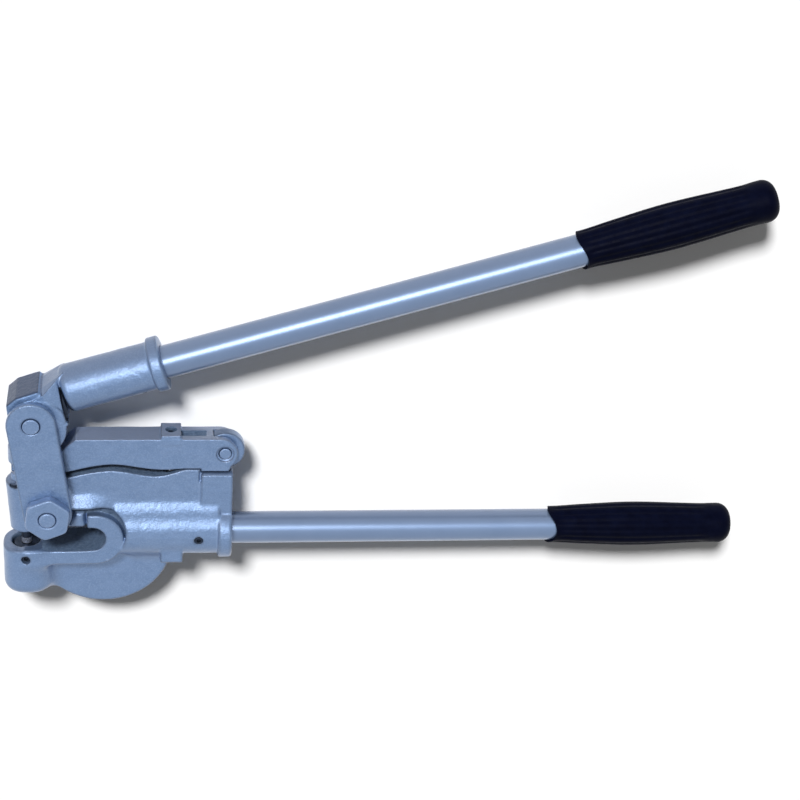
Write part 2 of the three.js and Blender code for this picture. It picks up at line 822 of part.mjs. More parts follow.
function linkGroup() {
  const group = new THREE.Group();
  const reach = new THREE.Vector2(pinAt.x - boltAt.x, pinAt.y - boltAt.y);
  const middle = (linkInner + linkOuter) / 2;
  const pinHalf = linkOuter + pinProud;
  group.position.set(boltAt.x, boltAt.y, 0);
  group.rotation.z = reach.angle() - Math.PI / 2;
  group.add(
    piece('front_link', link(reach.length()), materials.casting, { z: middle }),
    piece('rear_link', link(reach.length()), materials.casting, { z: -middle }),
    piece('link_pin', alongZ(pivotRadius, -pinHalf, pinHalf), materials.casting, { y: reach.length() }),
  );
  return group;
}

function handleGroup() {
  const group = new THREE.Group();
  const tubeStart = upperSocketEnd + upperCollarWidth - upperSocketDepth + fitGap;
  const tubeEnd = upperReach - gripCap - fitGap;
  group.position.set(hubAt.x, hubAt.y, 0);
  group.rotation.z = handleAngle;
  group.add(
    piece('handle_head_casting', handleHead(), materials.casting),
    piece('upper_handle_tube', handleTube(tubeEnd - tubeStart), materials.tube, {
      x: tubeStart,
      y: upperAxisOffset,
    }),
    piece('upper_grip', grip(), materials.grip, { x: upperReach - gripLength, y: upperAxisOffset }),
    piece('upper_socket_screw', setScrew(setScrewRadius, setScrewLength), materials.darkSteel, {
      x: upperScrewX,
      y: upperAxisOffset - tubeRadius - fitGap,
      turnZ: Math.PI,
    }),
  );
  return group;
}

const tool = new THREE.Group();
tool.add(
  frameGroup(),
  plungerGroup(),
  linkGroup(),
  handleGroup(),
  piece('pressure_bar', pressureBar(), materials.casting),
);

const bounds = new THREE.Box3().setFromObject(tool, true);
const centre = bounds.getCenter(new THREE.Vector3());
tool.position.set(-centre.x, -centre.y, -bounds.min.z);

export default tool;
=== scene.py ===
"""The looks of the lever hole punch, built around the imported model.

Modelling is done in millimetres in the tool's own frame: X = 0 and Z = 0 on the punch axis,
Y = 0 on the lower handle's axis. Castings are signed distances on a grid, joined with cast
fillets and meshed; turned parts are revolved profiles; grips are fluted rings.
"""

import math

import bpy
import numpy as np
from mathutils import Matrix, Vector


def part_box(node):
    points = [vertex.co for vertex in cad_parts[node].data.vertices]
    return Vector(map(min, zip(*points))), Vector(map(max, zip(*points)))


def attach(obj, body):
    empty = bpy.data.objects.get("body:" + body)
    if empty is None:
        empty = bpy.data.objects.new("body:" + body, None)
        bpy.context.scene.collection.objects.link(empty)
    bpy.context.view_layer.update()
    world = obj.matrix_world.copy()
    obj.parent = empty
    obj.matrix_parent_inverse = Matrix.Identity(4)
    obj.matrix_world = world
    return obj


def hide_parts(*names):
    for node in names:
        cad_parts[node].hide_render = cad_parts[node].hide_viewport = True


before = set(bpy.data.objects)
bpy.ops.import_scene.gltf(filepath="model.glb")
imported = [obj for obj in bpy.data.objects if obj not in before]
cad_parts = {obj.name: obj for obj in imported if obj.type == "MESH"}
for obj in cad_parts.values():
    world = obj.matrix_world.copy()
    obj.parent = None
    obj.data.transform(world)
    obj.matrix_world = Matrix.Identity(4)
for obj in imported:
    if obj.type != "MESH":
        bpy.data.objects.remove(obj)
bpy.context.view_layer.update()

MM = 0.001


def middle(node):
    low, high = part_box(node)
    return (low + high) / 2


def extent(node):
    low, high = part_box(node)
    return (high - low) / MM


def place(node):
    """A node's middle in tool millimetres."""
    return (middle(node) - ORIGIN) / MM


ORIGIN = Vector((middle("punch").x, middle("lower_handle_tube").y, middle("lower_handle_tube").z))

# Clearances, as in the solids
FIT = 0.3
OVERRUN = 5.0

# Linkage
BOLT = place("link_bolt")
PIN = place("link_pin")
BAR_PIVOT = place("bar_pivot_pin")
HANDLE_ANGLE = math.radians(17.2)
HUB_THROW = 7.0
HUB_THROW_ANGLE = math.radians(-56)
HUB = Vector((
    PIN.x + HUB_THROW * math.cos(HUB_THROW_ANGLE),
    PIN.y + HUB_THROW * math.sin(HUB_THROW_ANGLE),
    0,
))
HUB_RADIUS = 22.5
PIVOT_RADIUS = extent("link_pin").x / 2

# Frame casting
NOSE_HALF = 18.7
NOSE_RADIUS = 17.2
RIM_HALF = 18.0
RIM_X = 53.7
RIM_RADIUS = 22.7
RIM_ARM_X = 47.6
BODY_HALF = 10.8
WEB_HALF = 4.0
WEB_X = 60.0
WEB_Y = -13.0
WEB_RADIUS = 53.5
WEB_TOP = -5.0
SHOULDER_X = 14.6
SHOULDER_Y = 53.3
WAVE_KNOTS = ((31.0, 53.3), (65.5, 59.4), (99.9, 54.2), (123.0, 60.0))
SLOT_START = 24.0
SLOT_END = WAVE_KNOTS[-1][0] - 2
SLOT_FOOT = 51.0
LAND_END = 135.4
LEDGE_TOP = 56.6
BODY_FOOT = 8.0
COLLAR_START = 149.5
COLLAR_END = 160.5
COLLAR_RADIUS = 23.6
SOCKET_START = 67.0
SOCKET_RADIUS = 20.3
THROAT_FLOOR = -9.4
THROAT_ROOF = 11.1
THROAT_END = 51.5
BARREL_TOP = 47.0
BARREL_BOTTOM = 3.8
BARREL_TOP_RADIUS = 14.6
BARREL_BOTTOM_RADIUS = 11.9
DIE_BOSS_X = 0.9
DIE_BOSS_RADIUS = 19.1
DIE_BOSS_BOTTOM = -51.8
DIE_BOSS_ROUND = 9.0
DIE_RADIUS = 10.4
TONGUE_HALF = 4.8
TONGUE_RADIUS = 15.5
LUG_LEFT = 104.4
LUG_RIGHT = 121.9
LUG_BOTTOM = -26.6
LUG_HALF = 9.0
LUG_PAD_BOTTOM = -21.9
LUG_PAD_HALF = 18.0
PAD_BOTTOM = 18.0
PAD_TOP = 55.6
PAD_HALF = 12.3
SPRING_X = 112.2

# Pressure bar
BAR_TOP = 87.0
BAR_SEAT = HUB.y - HUB_RADIUS - 0.4
BAR_SEAT_RIGHT = 28.9
BAR_RAMP_RIGHT = 39.3
BAR_END_RADIUS = 12.0
BAR_END_BOTTOM = 49.4
BAR_WAVE_GAPS = (4.5, 5.3, 5.8, 0.65)
BAR_LAND_GAP = 0.65
BAR_UNDERSIDE = 58.2
BAR_CHEEK_RADIUS = 13.5
BAR_CHEEK_CUT = 3.6
BAR_RECESS_DEPTH = 1.6
BAR_RECESS_RADIUS = 6.6
TOP_LUG_LEFT = 104.4
TOP_LUG_RIGHT = 120.0
TOP_LUG_RISE = 3.2
TOP_GROOVE_RIGHT = 141.0

# Handle head, from the hub's centre with the handle along X
UPPER_AXIS = 18.0
UPPER_SOCKET_START = 26.5
UPPER_COLLAR_START = 96.0
UPPER_COLLAR_END = 105.0
UPPER_SOCKET_RADIUS = 18.5
UPPER_COLLAR_RADIUS = 21.2
UPPER_SCREW = 84.0
HEAD_BLOCK_HALF = 17.8

# Links
LINK_HALF_WIDTH = 18.6
LINK_THICKNESS = 6.0

# Finishing
CAST_STEP = 0.8
FINE_STEP = 0.55
CAST_EDGE = 1.4
CAST_WAVE = 0.12
CAST_WAVE_FADE = 8.0
ON_AXIS = 1e-6
RING_SPACING = 1.2
TURNED_CORNER = math.radians(40)
WOUND_CORNER = math.radians(50)

# A round takes up to this share of a side, and a ring stays beside it at this many times its reach
ROUND_SHARE = 0.4
BESIDE_ROUND = 1.15

# Slow waves for X, Y and Z: along which axis and how fast, and how another axis bends them
CAST_WAVES = ((1, 0.31, 1.3, 2, 0.17), (0, 0.27, 0.9, 2, 0.23), (0, 0.19, 1.1, 1, 0.29))


# Signed distances


def polygon(x, y, points):
    """Distance in the plane to a closed outline, negative inside it."""
    nearest = np.full(np.broadcast(x, y).shape, np.inf, np.float32)
    inside = np.zeros(nearest.shape, bool)
    for (x0, y0), (x1, y1) in zip(points, points[1:] + points[:1]):
        ex, ey = x1 - x0, y1 - y0
        along = np.clip(((x - x0) * ex + (y - y0) * ey) / (ex * ex + ey * ey), 0, 1)
        nearest = np.minimum(nearest, (x - x0 - along * ex) ** 2 + (y - y0 - along * ey) ** 2)
        if y0 != y1:
            inside ^= ((y0 > y) != (y1 > y)) & (x < ex * (y - y0) / ey + x0)
    return np.where(inside, -1, 1) * np.sqrt(nearest)


def disc(x, y, centre_x, centre_y, radius):
    return np.hypot(x - centre_x, y - centre_y) - radius


def round_at(g, centre, radius):
    return disc(g.x, g.y, centre.x, centre.y, radius)


def slab(flat, height, low, high, edge=0.0):
    """An outline's distance carried from low to high, with rounded edges."""
    a = flat + edge
    b = np.abs(height - (low + high) / 2) - (high - low) / 2 + edge
    return np.minimum(np.maximum(a, b), 0) + np.hypot(np.maximum(a, 0), np.maximum(b, 0)) - edge


def plate(g, flat, half, edge=0.0):
    """An outline's distance carried to both sides of the middle plane."""
    return slab(flat, g.z, -half, half, edge)


def union(a, b, fillet=0.0):
    """Joins two fields, with a fillet between them that may change from place to place."""
    if np.ndim(fillet) == 0 and not fillet:
        return np.minimum(a, b)
    share = np.clip(0.5 + 0.5 * (b - a) / fillet, 0, 1)
    return b + (a - b) * share - fillet * share * (1 - share)


def carve(a, b, edge=0.0):
    return -union(-a, b, edge)


def rectangle(x, y, left, right, bottom, top):
    return np.maximum(
        np.abs(x - (left + right) / 2) - (right - left) / 2,
        np.abs(y - (bottom + top) / 2) - (top - bottom) / 2,
    )


def arc(centre_x, centre_y, radius, start, end, steps=24):
    """Points on an arc, angles in degrees."""
    angles = np.radians(np.linspace(start, end, steps))
    return [(centre_x + radius * math.cos(a), centre_y + radius * math.sin(a)) for a in angles]


def wave(gaps=(0, 0, 0, 0), steps=7):
    """The wavy line under the bar, a smooth curve through its knots raised by the gaps."""
    knots = [np.array((x, y + gap)) for (x, y), gap in zip(WAVE_KNOTS, gaps)]
    points = []
    for i in range(len(knots) - 1):
        p0, p1, p2 = knots[max(i - 1, 0)], knots[i], knots[i + 1]
        p3 = knots[min(i + 2, len(knots) - 1)]
        for t in np.linspace(0, 1, steps, endpoint=False):
            bend = (2 * p0 - 5 * p1 + 4 * p2 - p3) * t * t
            twist = (3 * p1 - p0 - 3 * p2 + p3) * t ** 3
            points.append(tuple(float(c) for c in 0.5 * (2 * p1 + (p2 - p0) * t + bend + twist)))
    return points + [tuple(float(c) for c in knots[-1])]


class Grid:
    """Sample points over a box in tool millimetres."""

    def __init__(self, low, high, step):
        margin = 3 * step
        axes = [np.arange(a - margin, b + margin + step, step, dtype=np.float32) for a, b in zip(low, high)]
        self.low = np.array([a[0] for a in axes], float)
        self.step = step
        self.x = axes[0][:, None, None]
        self.y = axes[1][None, :, None]
        self.z = axes[2][None, None, :]


def corner_samples(field, cells):
    offsets = np.array([(i, j, k) for i in (0, 1) for j in (0, 1) for k in (0, 1)])
    return offsets, np.stack([field[tuple((cells + o).T)] for o in offsets], 1)


def skin(grid, field):
    """Points and quads on the zero level of a sampled field, one point to a crossed cell."""
    field = np.broadcast_to(field, (grid.x.size, grid.y.size, grid.z.size)).astype(np.float32)
    inside = field < 0
    last_x, last_y, last_z = (size - 1 for size in inside.shape)
    count = sum(
        inside[i:last_x + i, j:last_y + j, k:last_z + k].astype(np.int8)
        for i in (0, 1) for j in (0, 1) for k in (0, 1)
    )
    crossed = (count > 0) & (count < 8)
    cells = np.argwhere(crossed)
    offsets, values = corner_samples(field, cells)
    total = np.zeros((len(cells), 3))
    hits = np.zeros(len(cells))
    for a in range(8):
        for b in range(a + 1, 8):
            if np.abs(offsets[a] - offsets[b]).sum() != 1:
                continue
            cut = (values[:, a] < 0) != (values[:, b] < 0)
            share = values[cut, a] / (values[cut, a] - values[cut, b])
            total[cut] += offsets[a] + share[:, None] * (offsets[b] - offsets[a])
            hits[cut] += 1
    points = grid.low + (cells + total / hits[:, None]) * grid.step
    number = np.full(crossed.shape, -1)
    number[crossed] = np.arange(len(cells))
    quads = []
    for axis in range(3):
        u, v = (axis + 1) % 3, (axis + 2) % 3
        first = np.moveaxis(inside, axis, 0)[:-1]
        second = np.moveaxis(inside, axis, 0)[1:]
        for found, flip in ((first & ~second, False), (~first & second, True)):
            edges = np.argwhere(found)
            order = [axis] + [a for a in range(3) if a != axis]
            at = np.zeros_like(edges)
            for column, a in enumerate(order):
                at[:, a] = edges[:, column]
            ring = []
            for du, dv in ((0, 0), (1, 0), (1, 1), (0, 1)):
                cell = at.copy()
                cell[:, u] -= du
                cell[:, v] -= dv
                ring.append(number[tuple(cell.T)])
            ring = ring[::-1] if not flip else ring
            quads.append(np.stack(ring, 1))
    return points, np.concatenate(quads)


# Meshes


def make_mesh(name, points, faces):
    """A mesh from tool millimetres; faces are an array of quads or a list of rings."""
    mesh = bpy.data.meshes.new(name)
    rows = np.asarray(points, float) * MM + np.array(ORIGIN)
    if isinstance(faces, np.ndarray):
        mesh.vertices.add(len(rows))
        mesh.vertices.foreach_set("co", rows.astype(np.float32).ravel())
        sides = faces.shape[1]
        mesh.loops.add(faces.size)
        mesh.loops.foreach_set("vertex_index", faces.astype(np.int32).ravel())
        mesh.polygons.add(len(faces))
        mesh.polygons.foreach_set("loop_start", np.arange(0, faces.size, sides, dtype=np.int32))
        mesh.update(calc_edges=True)
        mesh.validate()
    else:
        mesh.from_pydata([tuple(r) for r in rows], [], faces)
        mesh.update()
    return mesh


def add_piece(name, mesh, look, body, node, corner=None):
    """Puts a mesh in the scene as a piece that rides on a body and stands for a CAD node."""
    piece = bpy.data.objects.new(name, mesh)
    bpy.context.scene.collection.objects.link(piece)
    mesh.materials.append(LOOKS[look])
    mesh.polygons.foreach_set("use_smooth", np.ones(len(mesh.polygons), bool))
    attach(piece, body)
    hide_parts(node)
    if corner:
        mesh.set_sharp_from_angle(angle=corner)
    return piece


def ripple(points):
    """Shifts points a little along slow waves, as the faces of a sand casting wander."""
    along = points.T
    shift = np.stack([
        np.sin(along[axis] * rate + bend * np.sin(along[other] * other_rate))
        for axis, rate, bend, other, other_rate in CAST_WAVES
    ], 1)
    return points + CAST_WAVE * (shift - 1) * np.tanh(points / CAST_WAVE_FADE) / 2


def casting(name, grid, field, look, body, node, lay=np.asarray):
    points, quads = skin(grid, field)
    return add_piece(name, make_mesh(name, lay(ripple(points)), quads), look, body, node)


def softened(profile, radius, steps=3):
    """A profile of (radius, height) pairs with its corners rounded off.

    It starts and ends on the axis, or else it closes on itself. Beside each round a ring stays on the
    flat, so that the shading turns only over the round.
    """
    closed = profile[0][0] > 0
    result = []
    for i, corner in enumerate(profile):
        if not closed and i in (0, len(profile) - 1):
            result.append(corner)
            continue
        here = Vector(corner)
        before = Vector(profile[i - 1]) - here
        after = Vector(profile[(i + 1) % len(profile)]) - here
        reach = min(radius, before.length * ROUND_SHARE, after.length * ROUND_SHARE)
        start = here + before.normalized() * reach
        end = here + after.normalized() * reach
        result.append(tuple(here + before.normalized() * reach * BESIDE_ROUND))
        for step in range(steps + 1):
            t = step / steps
            result.append(tuple(start * (1 - t) ** 2 + here * 2 * t * (1 - t) + end * t * t))
        result.append(tuple(here + after.normalized() * reach * BESIDE_ROUND))
    return result


def hexagon(across, angle, turn=0.0, corner=14):
    """How far a hexagon with rounded corners reaches at an angle; a higher corner is sharper."""
    total = sum(abs(math.cos(angle - turn - math.pi / 6 - k * math.pi / 3)) ** corner for k in range(3))
    return across / 2 * total ** (-1 / corner)


def lathe(profile, sides=64, shape=None):
    """Points and faces of a profile of (radius, height) pairs turned about local Z.

    A pair may have a third value, a share: there the ring is that much of the given shape, not a circle.
    """
    points, rings = [], []
    for radius, height, *share in profile:
        if radius < ON_AXIS:
            rings.append([len(points)])
            points.append((0, 0, height))
            continue
        rings.append(list(range(len(points), len(points) + sides)))
        for side in range(sides):
            angle = 2 * math.pi * side / sides
            reach = radius if not share else radius * shape(angle)
            points.append((reach * math.cos(angle), reach * math.sin(angle), height))
    closed = profile[0][0] > ON_AXIS
    pairs = list(zip(rings, rings[1:])) + ([(rings[-1], rings[0])] if closed else [])
    faces = []
    for low, high in pairs:
        for side in range(sides):
            after = (side + 1) % sides
            if len(low) == 1 and len(high) == 1:
                break
            if len(low) == 1:
                faces.append((low[0], high[after], high[side]))
            elif len(high) == 1:
                faces.append((low[side], low[after], high[0]))
            else:
                faces.append((low[side], low[after], high[after], high[side]))
    return np.array(points, float), faces


def ring_faces(rings):
    """The points of rings of equal length, and the faces between them and over both ends."""
    sides = len(rings[0])
    last = (len(rings) - 1) * sides
    faces = []
    for start in range(0, last, sides):
        for side in range(sides):
            a, b = start + side, start + (side + 1) % sides
            faces.append((a, a + sides, b + sides, b))
    faces.append(tuple(range(last, last + sides))[::-1])
    faces.append(tuple(range(sides)))
    return np.array([point for ring in rings for point in ring]), faces


ALONG = {
    "x": Matrix(((0, 0, 1), (1, 0, 0), (0, 1, 0))),
    "y": Matrix(((1, 0, 0), (0, 0, 1), (0, -1, 0))),
    "z": Matrix.Identity(3),
}


def turned(points, direction, at=(0, 0, 0)):
    """Local points with their Z laid along a direction, at a place."""
    turn = ALONG[direction] if isinstance(direction, str) else direction
    return np.asarray(points) @ np.array(turn).T + np.array(at, float)


def with_rings(profile):
    """A profile with points added where two plain pairs lie far apart."""
    result = [profile[0]]
    for here, after in zip(profile, profile[1:]):
        if len(here) == 2 and len(after) == 2:
            count = math.ceil(math.dist(here, after) / RING_SPACING)
            for step in range(1, count):
                share = step / count
                result.append(tuple(a + (b - a) * share for a, b in zip(here, after)))
        result.append(after)
    return result


def turned_piece(name, profile, direction, at, look, body, node, sides=64, shape=None):
    points, faces = lathe(with_rings(profile), sides, shape)
    mesh = make_mesh(name, turned(points, direction, at), faces)
    return add_piece(name, mesh, look, body, node, TURNED_CORNER)


def on_handle(points):
    """Points drawn from the hub's centre with the handle along X, laid in the tool's frame."""
    turn = np.array(Matrix.Rotation(HANDLE_ANGLE, 3, "Z"))
    return np.asarray(points, float) @ turn.T + np.array(HUB)


class FlatPoints:
    """Loose points in place of a grid."""

    def __init__(self, x, y, z):
        self.x, self.y, self.z = x, y, z


def face_places(mesh):
    """Where each face lies, in tool millimetres, and how far it faces up."""
    rows = np.empty(len(mesh.polygons) * 3, np.float32)
    mesh.polygons.foreach_get("center", rows)
    x, y, z = ((rows.reshape(-1, 3) - np.array(ORIGIN)) / MM).T
    mesh.polygons.foreach_get("normal", rows)
    return x, y, z, rows.reshape(-1, 3)[:, 2]


def second_look(piece, faces, look="throat"):
    """Gives some faces of a piece another look, such as the dark one of a casting's insides."""
    piece.data.materials.append(LOOKS[look])
    looks = np.empty(len(faces), np.int32)
    piece.data.polygons.foreach_get("material_index", looks)
    looks[faces] = len(piece.data.materials) - 1
    piece.data.polygons.foreach_set("material_index", looks)


# Materials


def new_material(name, **shader):
    material = bpy.data.materials.new(name)
    material.use_nodes = True
    node = material.node_tree.nodes["Principled BSDF"]
    for socket, value in shader.items():
        node.inputs[socket.replace("_", " ")].default_value = value
    return material, material.node_tree, node


def noise(tree, scale, detail=4.0, rough=0.6, stretch=(1, 1, 1)):
    """Noise in the piece's own space; scale counts its grains to the metre."""
    place_node = tree.nodes.new("ShaderNodeTexCoord")
    mapping = tree.nodes.new("ShaderNodeMapping")
    mapping.inputs["Scale"].default_value = stretch
    texture = tree.nodes.new("ShaderNodeTexNoise")
    texture.inputs["Scale"].default_value = scale
    texture.inputs["Detail"].default_value = detail
    texture.inputs["Roughness"].default_value = rough
    tree.links.new(place_node.outputs["Object"], mapping.inputs["Vector"])
    tree.links.new(mapping.outputs["Vector"], texture.inputs["Vector"])
    return texture.outputs["Fac"]


def ramp(tree, value, *stops):
    """A colour ramp through (position, colour) stops; a single number is a grey."""
    node = tree.nodes.new("ShaderNodeValToRGB")
    elements = node.color_ramp.elements
    while len(elements) < len(stops):
        elements.new(0.5)
    for element, (position, colour) in zip(elements, stops):
        element.position = position
        grey = not hasattr(colour, "__len__")
        element.color = (colour, colour, colour, 1) if grey else (*colour, 1)
    tree.links.new(value, node.inputs["Fac"])
    return node.outputs["Color"]


def mixed(tree, share, first, second, blend="MIX"):
    node = tree.nodes.new("ShaderNodeMix")
    node.data_type = "RGBA"
    node.blend_type = blend
    for socket, value in (("A", first), ("B", second)):
        target = [i for i in node.inputs if i.name == socket and i.type == "RGBA"][0]
        if hasattr(value, "is_linked"):
            tree.links.new(value, target)
        else:
            target.default_value = (*value, 1)
    factor = [i for i in node.inputs if i.name == "Factor" and i.type == "VALUE"][0]
    if hasattr(share, "is_linked"):
        tree.links.new(share, factor)
    else:
        factor.default_value = share
    return [o for o in node.outputs if o.type == "RGBA"][0]


def bump(tree, shader, *layers):
    """Stacks bumps; each layer is (height, distance in metres, strength)."""
    normal = None
    for height, distance, strength in layers:
        node = tree.nodes.new("ShaderNodeBump")
        node.inputs["Distance"].default_value = distance
        node.inputs["Strength"].default_value = strength
        tree.links.new(height, node.inputs["Height"])
        if normal is not None:
            tree.links.new(normal, node.inputs["Normal"])
        normal = node.outputs["Normal"]
    tree.links.new(normal, shader.inputs["Normal"])


def worn_edges(tree):
    geometry = tree.nodes.new("ShaderNodeNewGeometry")
    return ramp(tree, geometry.outputs["Pointiness"], (0.5, 0.0), (0.58, 1.0))


def painted_hollow_shade(tree, colour):
    """Darkens a colour where the surface is hollow: painted shade in creases and corners."""
    geometry = tree.nodes.new("ShaderNodeNewGeometry")
    hollow_shade = ramp(tree, geometry.outputs["Pointiness"], (0.44, 0.4), (0.495, 1.0))
    return mixed(tree, 1.0, colour, hollow_shade, "MULTIPLY")


def painted_side_shade(tree, colour, painted_side, most):
    """Mixes a side tone into a colour on the sides that face +Y and a little -X: painted shade, or painted
    light where the tone is lighter than the paint.
    """
    place_node = tree.nodes.new("ShaderNodeTexCoord")
    facing = tree.nodes.new("ShaderNodeVectorMath")
    facing.operation = "DOT_PRODUCT"
    facing.inputs[1].default_value = (-0.45, 0.89, 0)
    tree.links.new(place_node.outputs["Normal"], facing.inputs[0])
    return mixed(tree, ramp(tree, facing.outputs["Value"], (0.4, 0.0), (0.8, most)), colour, painted_side)


def clouded(tree, clouds, values):
    """Two colours or greys mixed in clouds; clouds are the noise's settings."""
    return ramp(tree, noise(tree, *clouds), (0.3, values[0]), (0.7, values[1]))


def plain_surface(name, clouds, tones, haze, roughness, grain, depth, strength, painted_side=None, **sockets):
    """Two clouded tones, clouded roughness and a fine grain of a depth in metres."""
    material, tree, shader = new_material(name, **sockets)
    tone = clouded(tree, clouds, tones)
    if painted_side:
        tone = painted_side_shade(tree, tone, *painted_side)
    tree.links.new(tone, shader.inputs["Base Color"])
    tree.links.new(clouded(tree, haze, roughness), shader.inputs["Roughness"])
    bump(tree, shader, (noise(tree, *grain), depth, strength))
    return material


PAINT_TONES = ((0.102, 0.184, 0.346), (0.133, 0.221, 0.396))
PAINT_FLECK = (0.185, 0.278, 0.46)
PAINT_WORN = (0.195, 0.285, 0.465)
# Side tones: painted shade on the +Y sides of the castings, the head's block and the tubes
PAINT_SIDE_SHADE = (0.080, 0.103, 0.160)
# A lighter side tone: painted light on the bar's +Y sides, which lie in the upper handle's shadow
BAR_SIDE_LIGHT = (0.26, 0.31, 0.43)
BLOCK_SIDE_SHADE = (0.030, 0.044, 0.085)
BLOCK_GLOSS = 0.35
TUBE_TONES = ((0.130, 0.202, 0.345), (0.146, 0.221, 0.370))
TUBE_SIDE_SHADE = (0.115, 0.140, 0.205)
RUBBER_TONES = ((0.0004, 0.0008, 0.0054), (0.0014, 0.0024, 0.0105))
STEEL_TONES = ((0.40, 0.45, 0.58), (0.54, 0.59, 0.72))
# Darker steel for the spring: painted shade where it lies in the slot, which also takes out its glint
SPRING_SHADE_TONES = ((0.05, 0.06, 0.08), (0.10, 0.11, 0.14))
BLACKENED_TONES = ((0.018, 0.026, 0.045), (0.045, 0.060, 0.092))
# Dark tone of the throat's bare inside, also used as painted shade in the rim's hollow, the slots and the
# bar's groove
THROAT_TONES = ((0.050, 0.084, 0.148), (0.115, 0.168, 0.255))
BRUSHED = (6, 1, 6)


def cast_paint(name, painted_side_share, painted_side=PAINT_SIDE_SHADE, gloss=1.0):
    """Metallic paint over a sand casting: clouds, flecks and worn edges, with painted shade in the hollows
    and a painted side tone on the sides that face +Y.
    """
    material, tree, shader = new_material(
        name, Metallic=0.6, Specular_IOR_Level=gloss, Coat_Weight=0.6 * gloss, Coat_Roughness=0.34,
    )
    specks = ramp(tree, noise(tree, 900, 3, 0.7), (0.45, 0.0), (0.75, 1.0))
    flecked = mixed(tree, specks, clouded(tree, (90, 5), PAINT_TONES), PAINT_FLECK)
    side_painted = painted_side_shade(tree, flecked, painted_side, painted_side_share)
    worn = mixed(tree, worn_edges(tree), side_painted, PAINT_WORN)
    tree.links.new(painted_hollow_shade(tree, worn), shader.inputs["Base Color"])
    tree.links.new(ramp(tree, noise(tree, 400, 4), (0.3, 0.34), (0.75, 0.48)), shader.inputs["Roughness"])
    grain = noise(tree, 600, 5, 0.65)
    swell = noise(tree, 210, 2)
    bump(tree, shader, (swell, 0.0009, 0.6), (grain, 0.0004, 0.5))
    return material


def tube_paint():
    return plain_surface(
        "tube_paint", (40, 3), TUBE_TONES, (600, 3), (0.30, 0.38), (500, 3), 0.0002, 0.12,
        painted_side=(TUBE_SIDE_SHADE, 0.4), Metallic=0.7, Specular_IOR_Level=0.8, Coat_Weight=0.8, Coat_Roughness=0.24,
    )


def grip_rubber():
    return plain_surface(
        "grip_rubber", (120, 4), RUBBER_TONES, (220, 4), (0.34, 0.52), (1400, 3), 0.0002, 0.25,
        Specular_IOR_Level=0.03,
    )


def bare_steel(name, tones):
    return plain_surface(
        name, (160, 4), tones, (700, 3), (0.2, 0.36), (900, 3, 0.6, BRUSHED), 0.0001, 0.06, Metallic=0.8,
    )


def dark_steel():
    return plain_surface(
        "dark_steel", (200, 4), BLACKENED_TONES, (500, 3), (0.36, 0.55), (1100, 4), 0.0002, 0.3,
        Metallic=0.85,
    )


def throat_black():
    return plain_surface(
        "throat_black", (350, 5, 0.7), THROAT_TONES, (500, 3), (0.6, 0.85), (700, 5, 0.7), 0.0008, 0.6,
        Metallic=0.3,
    )


# Each paint's number is how much of its painted side tone it takes on its +Y sides
LOOKS = {
    "cast": cast_paint("cast_paint", 0.55),
    "bar": cast_paint("bar_paint", 0.85, BAR_SIDE_LIGHT),
    "link": cast_paint("link_paint", 0.3),
    "block": cast_paint("block_paint", 0.9, BLOCK_SIDE_SHADE, BLOCK_GLOSS),
    "tube": tube_paint(),
    "grip": grip_rubber(),
    "steel": bare_steel("bare_steel", STEEL_TONES),
    "spring": bare_steel("spring_steel", SPRING_SHADE_TONES),
    "dark": dark_steel(),
    "throat": throat_black(),
}
SLOTS = {
    **dict.fromkeys(("cast", "bar", "link", "block"), "cast_paint"),
    **dict.fromkeys(("steel", "spring"), "steel"),
    "tube": "tube_paint",
    "grip": "grip",
    "dark": "dark_steel",
}


# Frame casting

# Places and heights of the swelling over the socket
SHELF_KNOTS = (
    (0, 20.3), (4, 20.2), (7.5, 20.0), (10.5, 19.4), (17, 15.95), (24.3, 14.5), (31.8, 10.6), (36, 9.6),
)
SHELF_BLUR = (-2.4, -1.2, 0, 1.2, 2.4)
SHELF_ROUND = 3.0

# The height over a leaning face times this is about its distance
LEAN_SHARE = 0.85

# Hollow beside the rim
ROOM_X = 55.0
ROOM_Y = 5.2
ROOM_RADIUS = 22.4
ROOM_LEFT = 34.0
ROOM_TOP = 27.4
ROOM_FLOOR = BODY_HALF + 0.1

# Slope up to the nose, which fades out over a run below its top and left of its right end
ROOT_BOX = (18.0, 79.0, 20.0, 45.0)
ROOT_TOP = 44.0
ROOT_TOP_RUN = 21.0
ROOT_RIGHT = 78.0
ROOT_RIGHT_RUN = 30.0
ROOT_HEIGHT = 8.7
ROOT_SINK = 1.1

# Thumb left of the rim's upper arm
THUMB_HALF = 15.6
THUMB_OUTLINE = [
    (BOLT.x, THROAT_ROOF - 3), (RIM_ARM_X, THROAT_ROOF - 3), (RIM_ARM_X - 1.2, 25.0), (38.0, 25.0),
    (34.0, 14.0), (BOLT.x, THROAT_ROOF + 2),
]

# Edges and fillets
COLLAR_EDGE = 2.2
RIM_EDGE = 1.8
THUMB_EDGE = 5.0
WEB_EDGE = 1.6
LUG_EDGE = 1.2
TIGHT_EDGE = 1.0
CREASE = 0.8
WEB_BLEND = 3.0
WEB_BLEND_GROWTH = 8.0
WEB_BLEND_START = 72.0
WEB_BLEND_RUN = 12.0
BOSS_BLEND = 6.0
BOSS_BLEND_GROWTH = 5.0
BOSS_BLEND_START = -15.0
BOSS_BLEND_RATE = 0.3

# The die boss's section is between a circle and a square
BOSS_SQUARENESS = 2.5
BOSS_LIP = 1.2

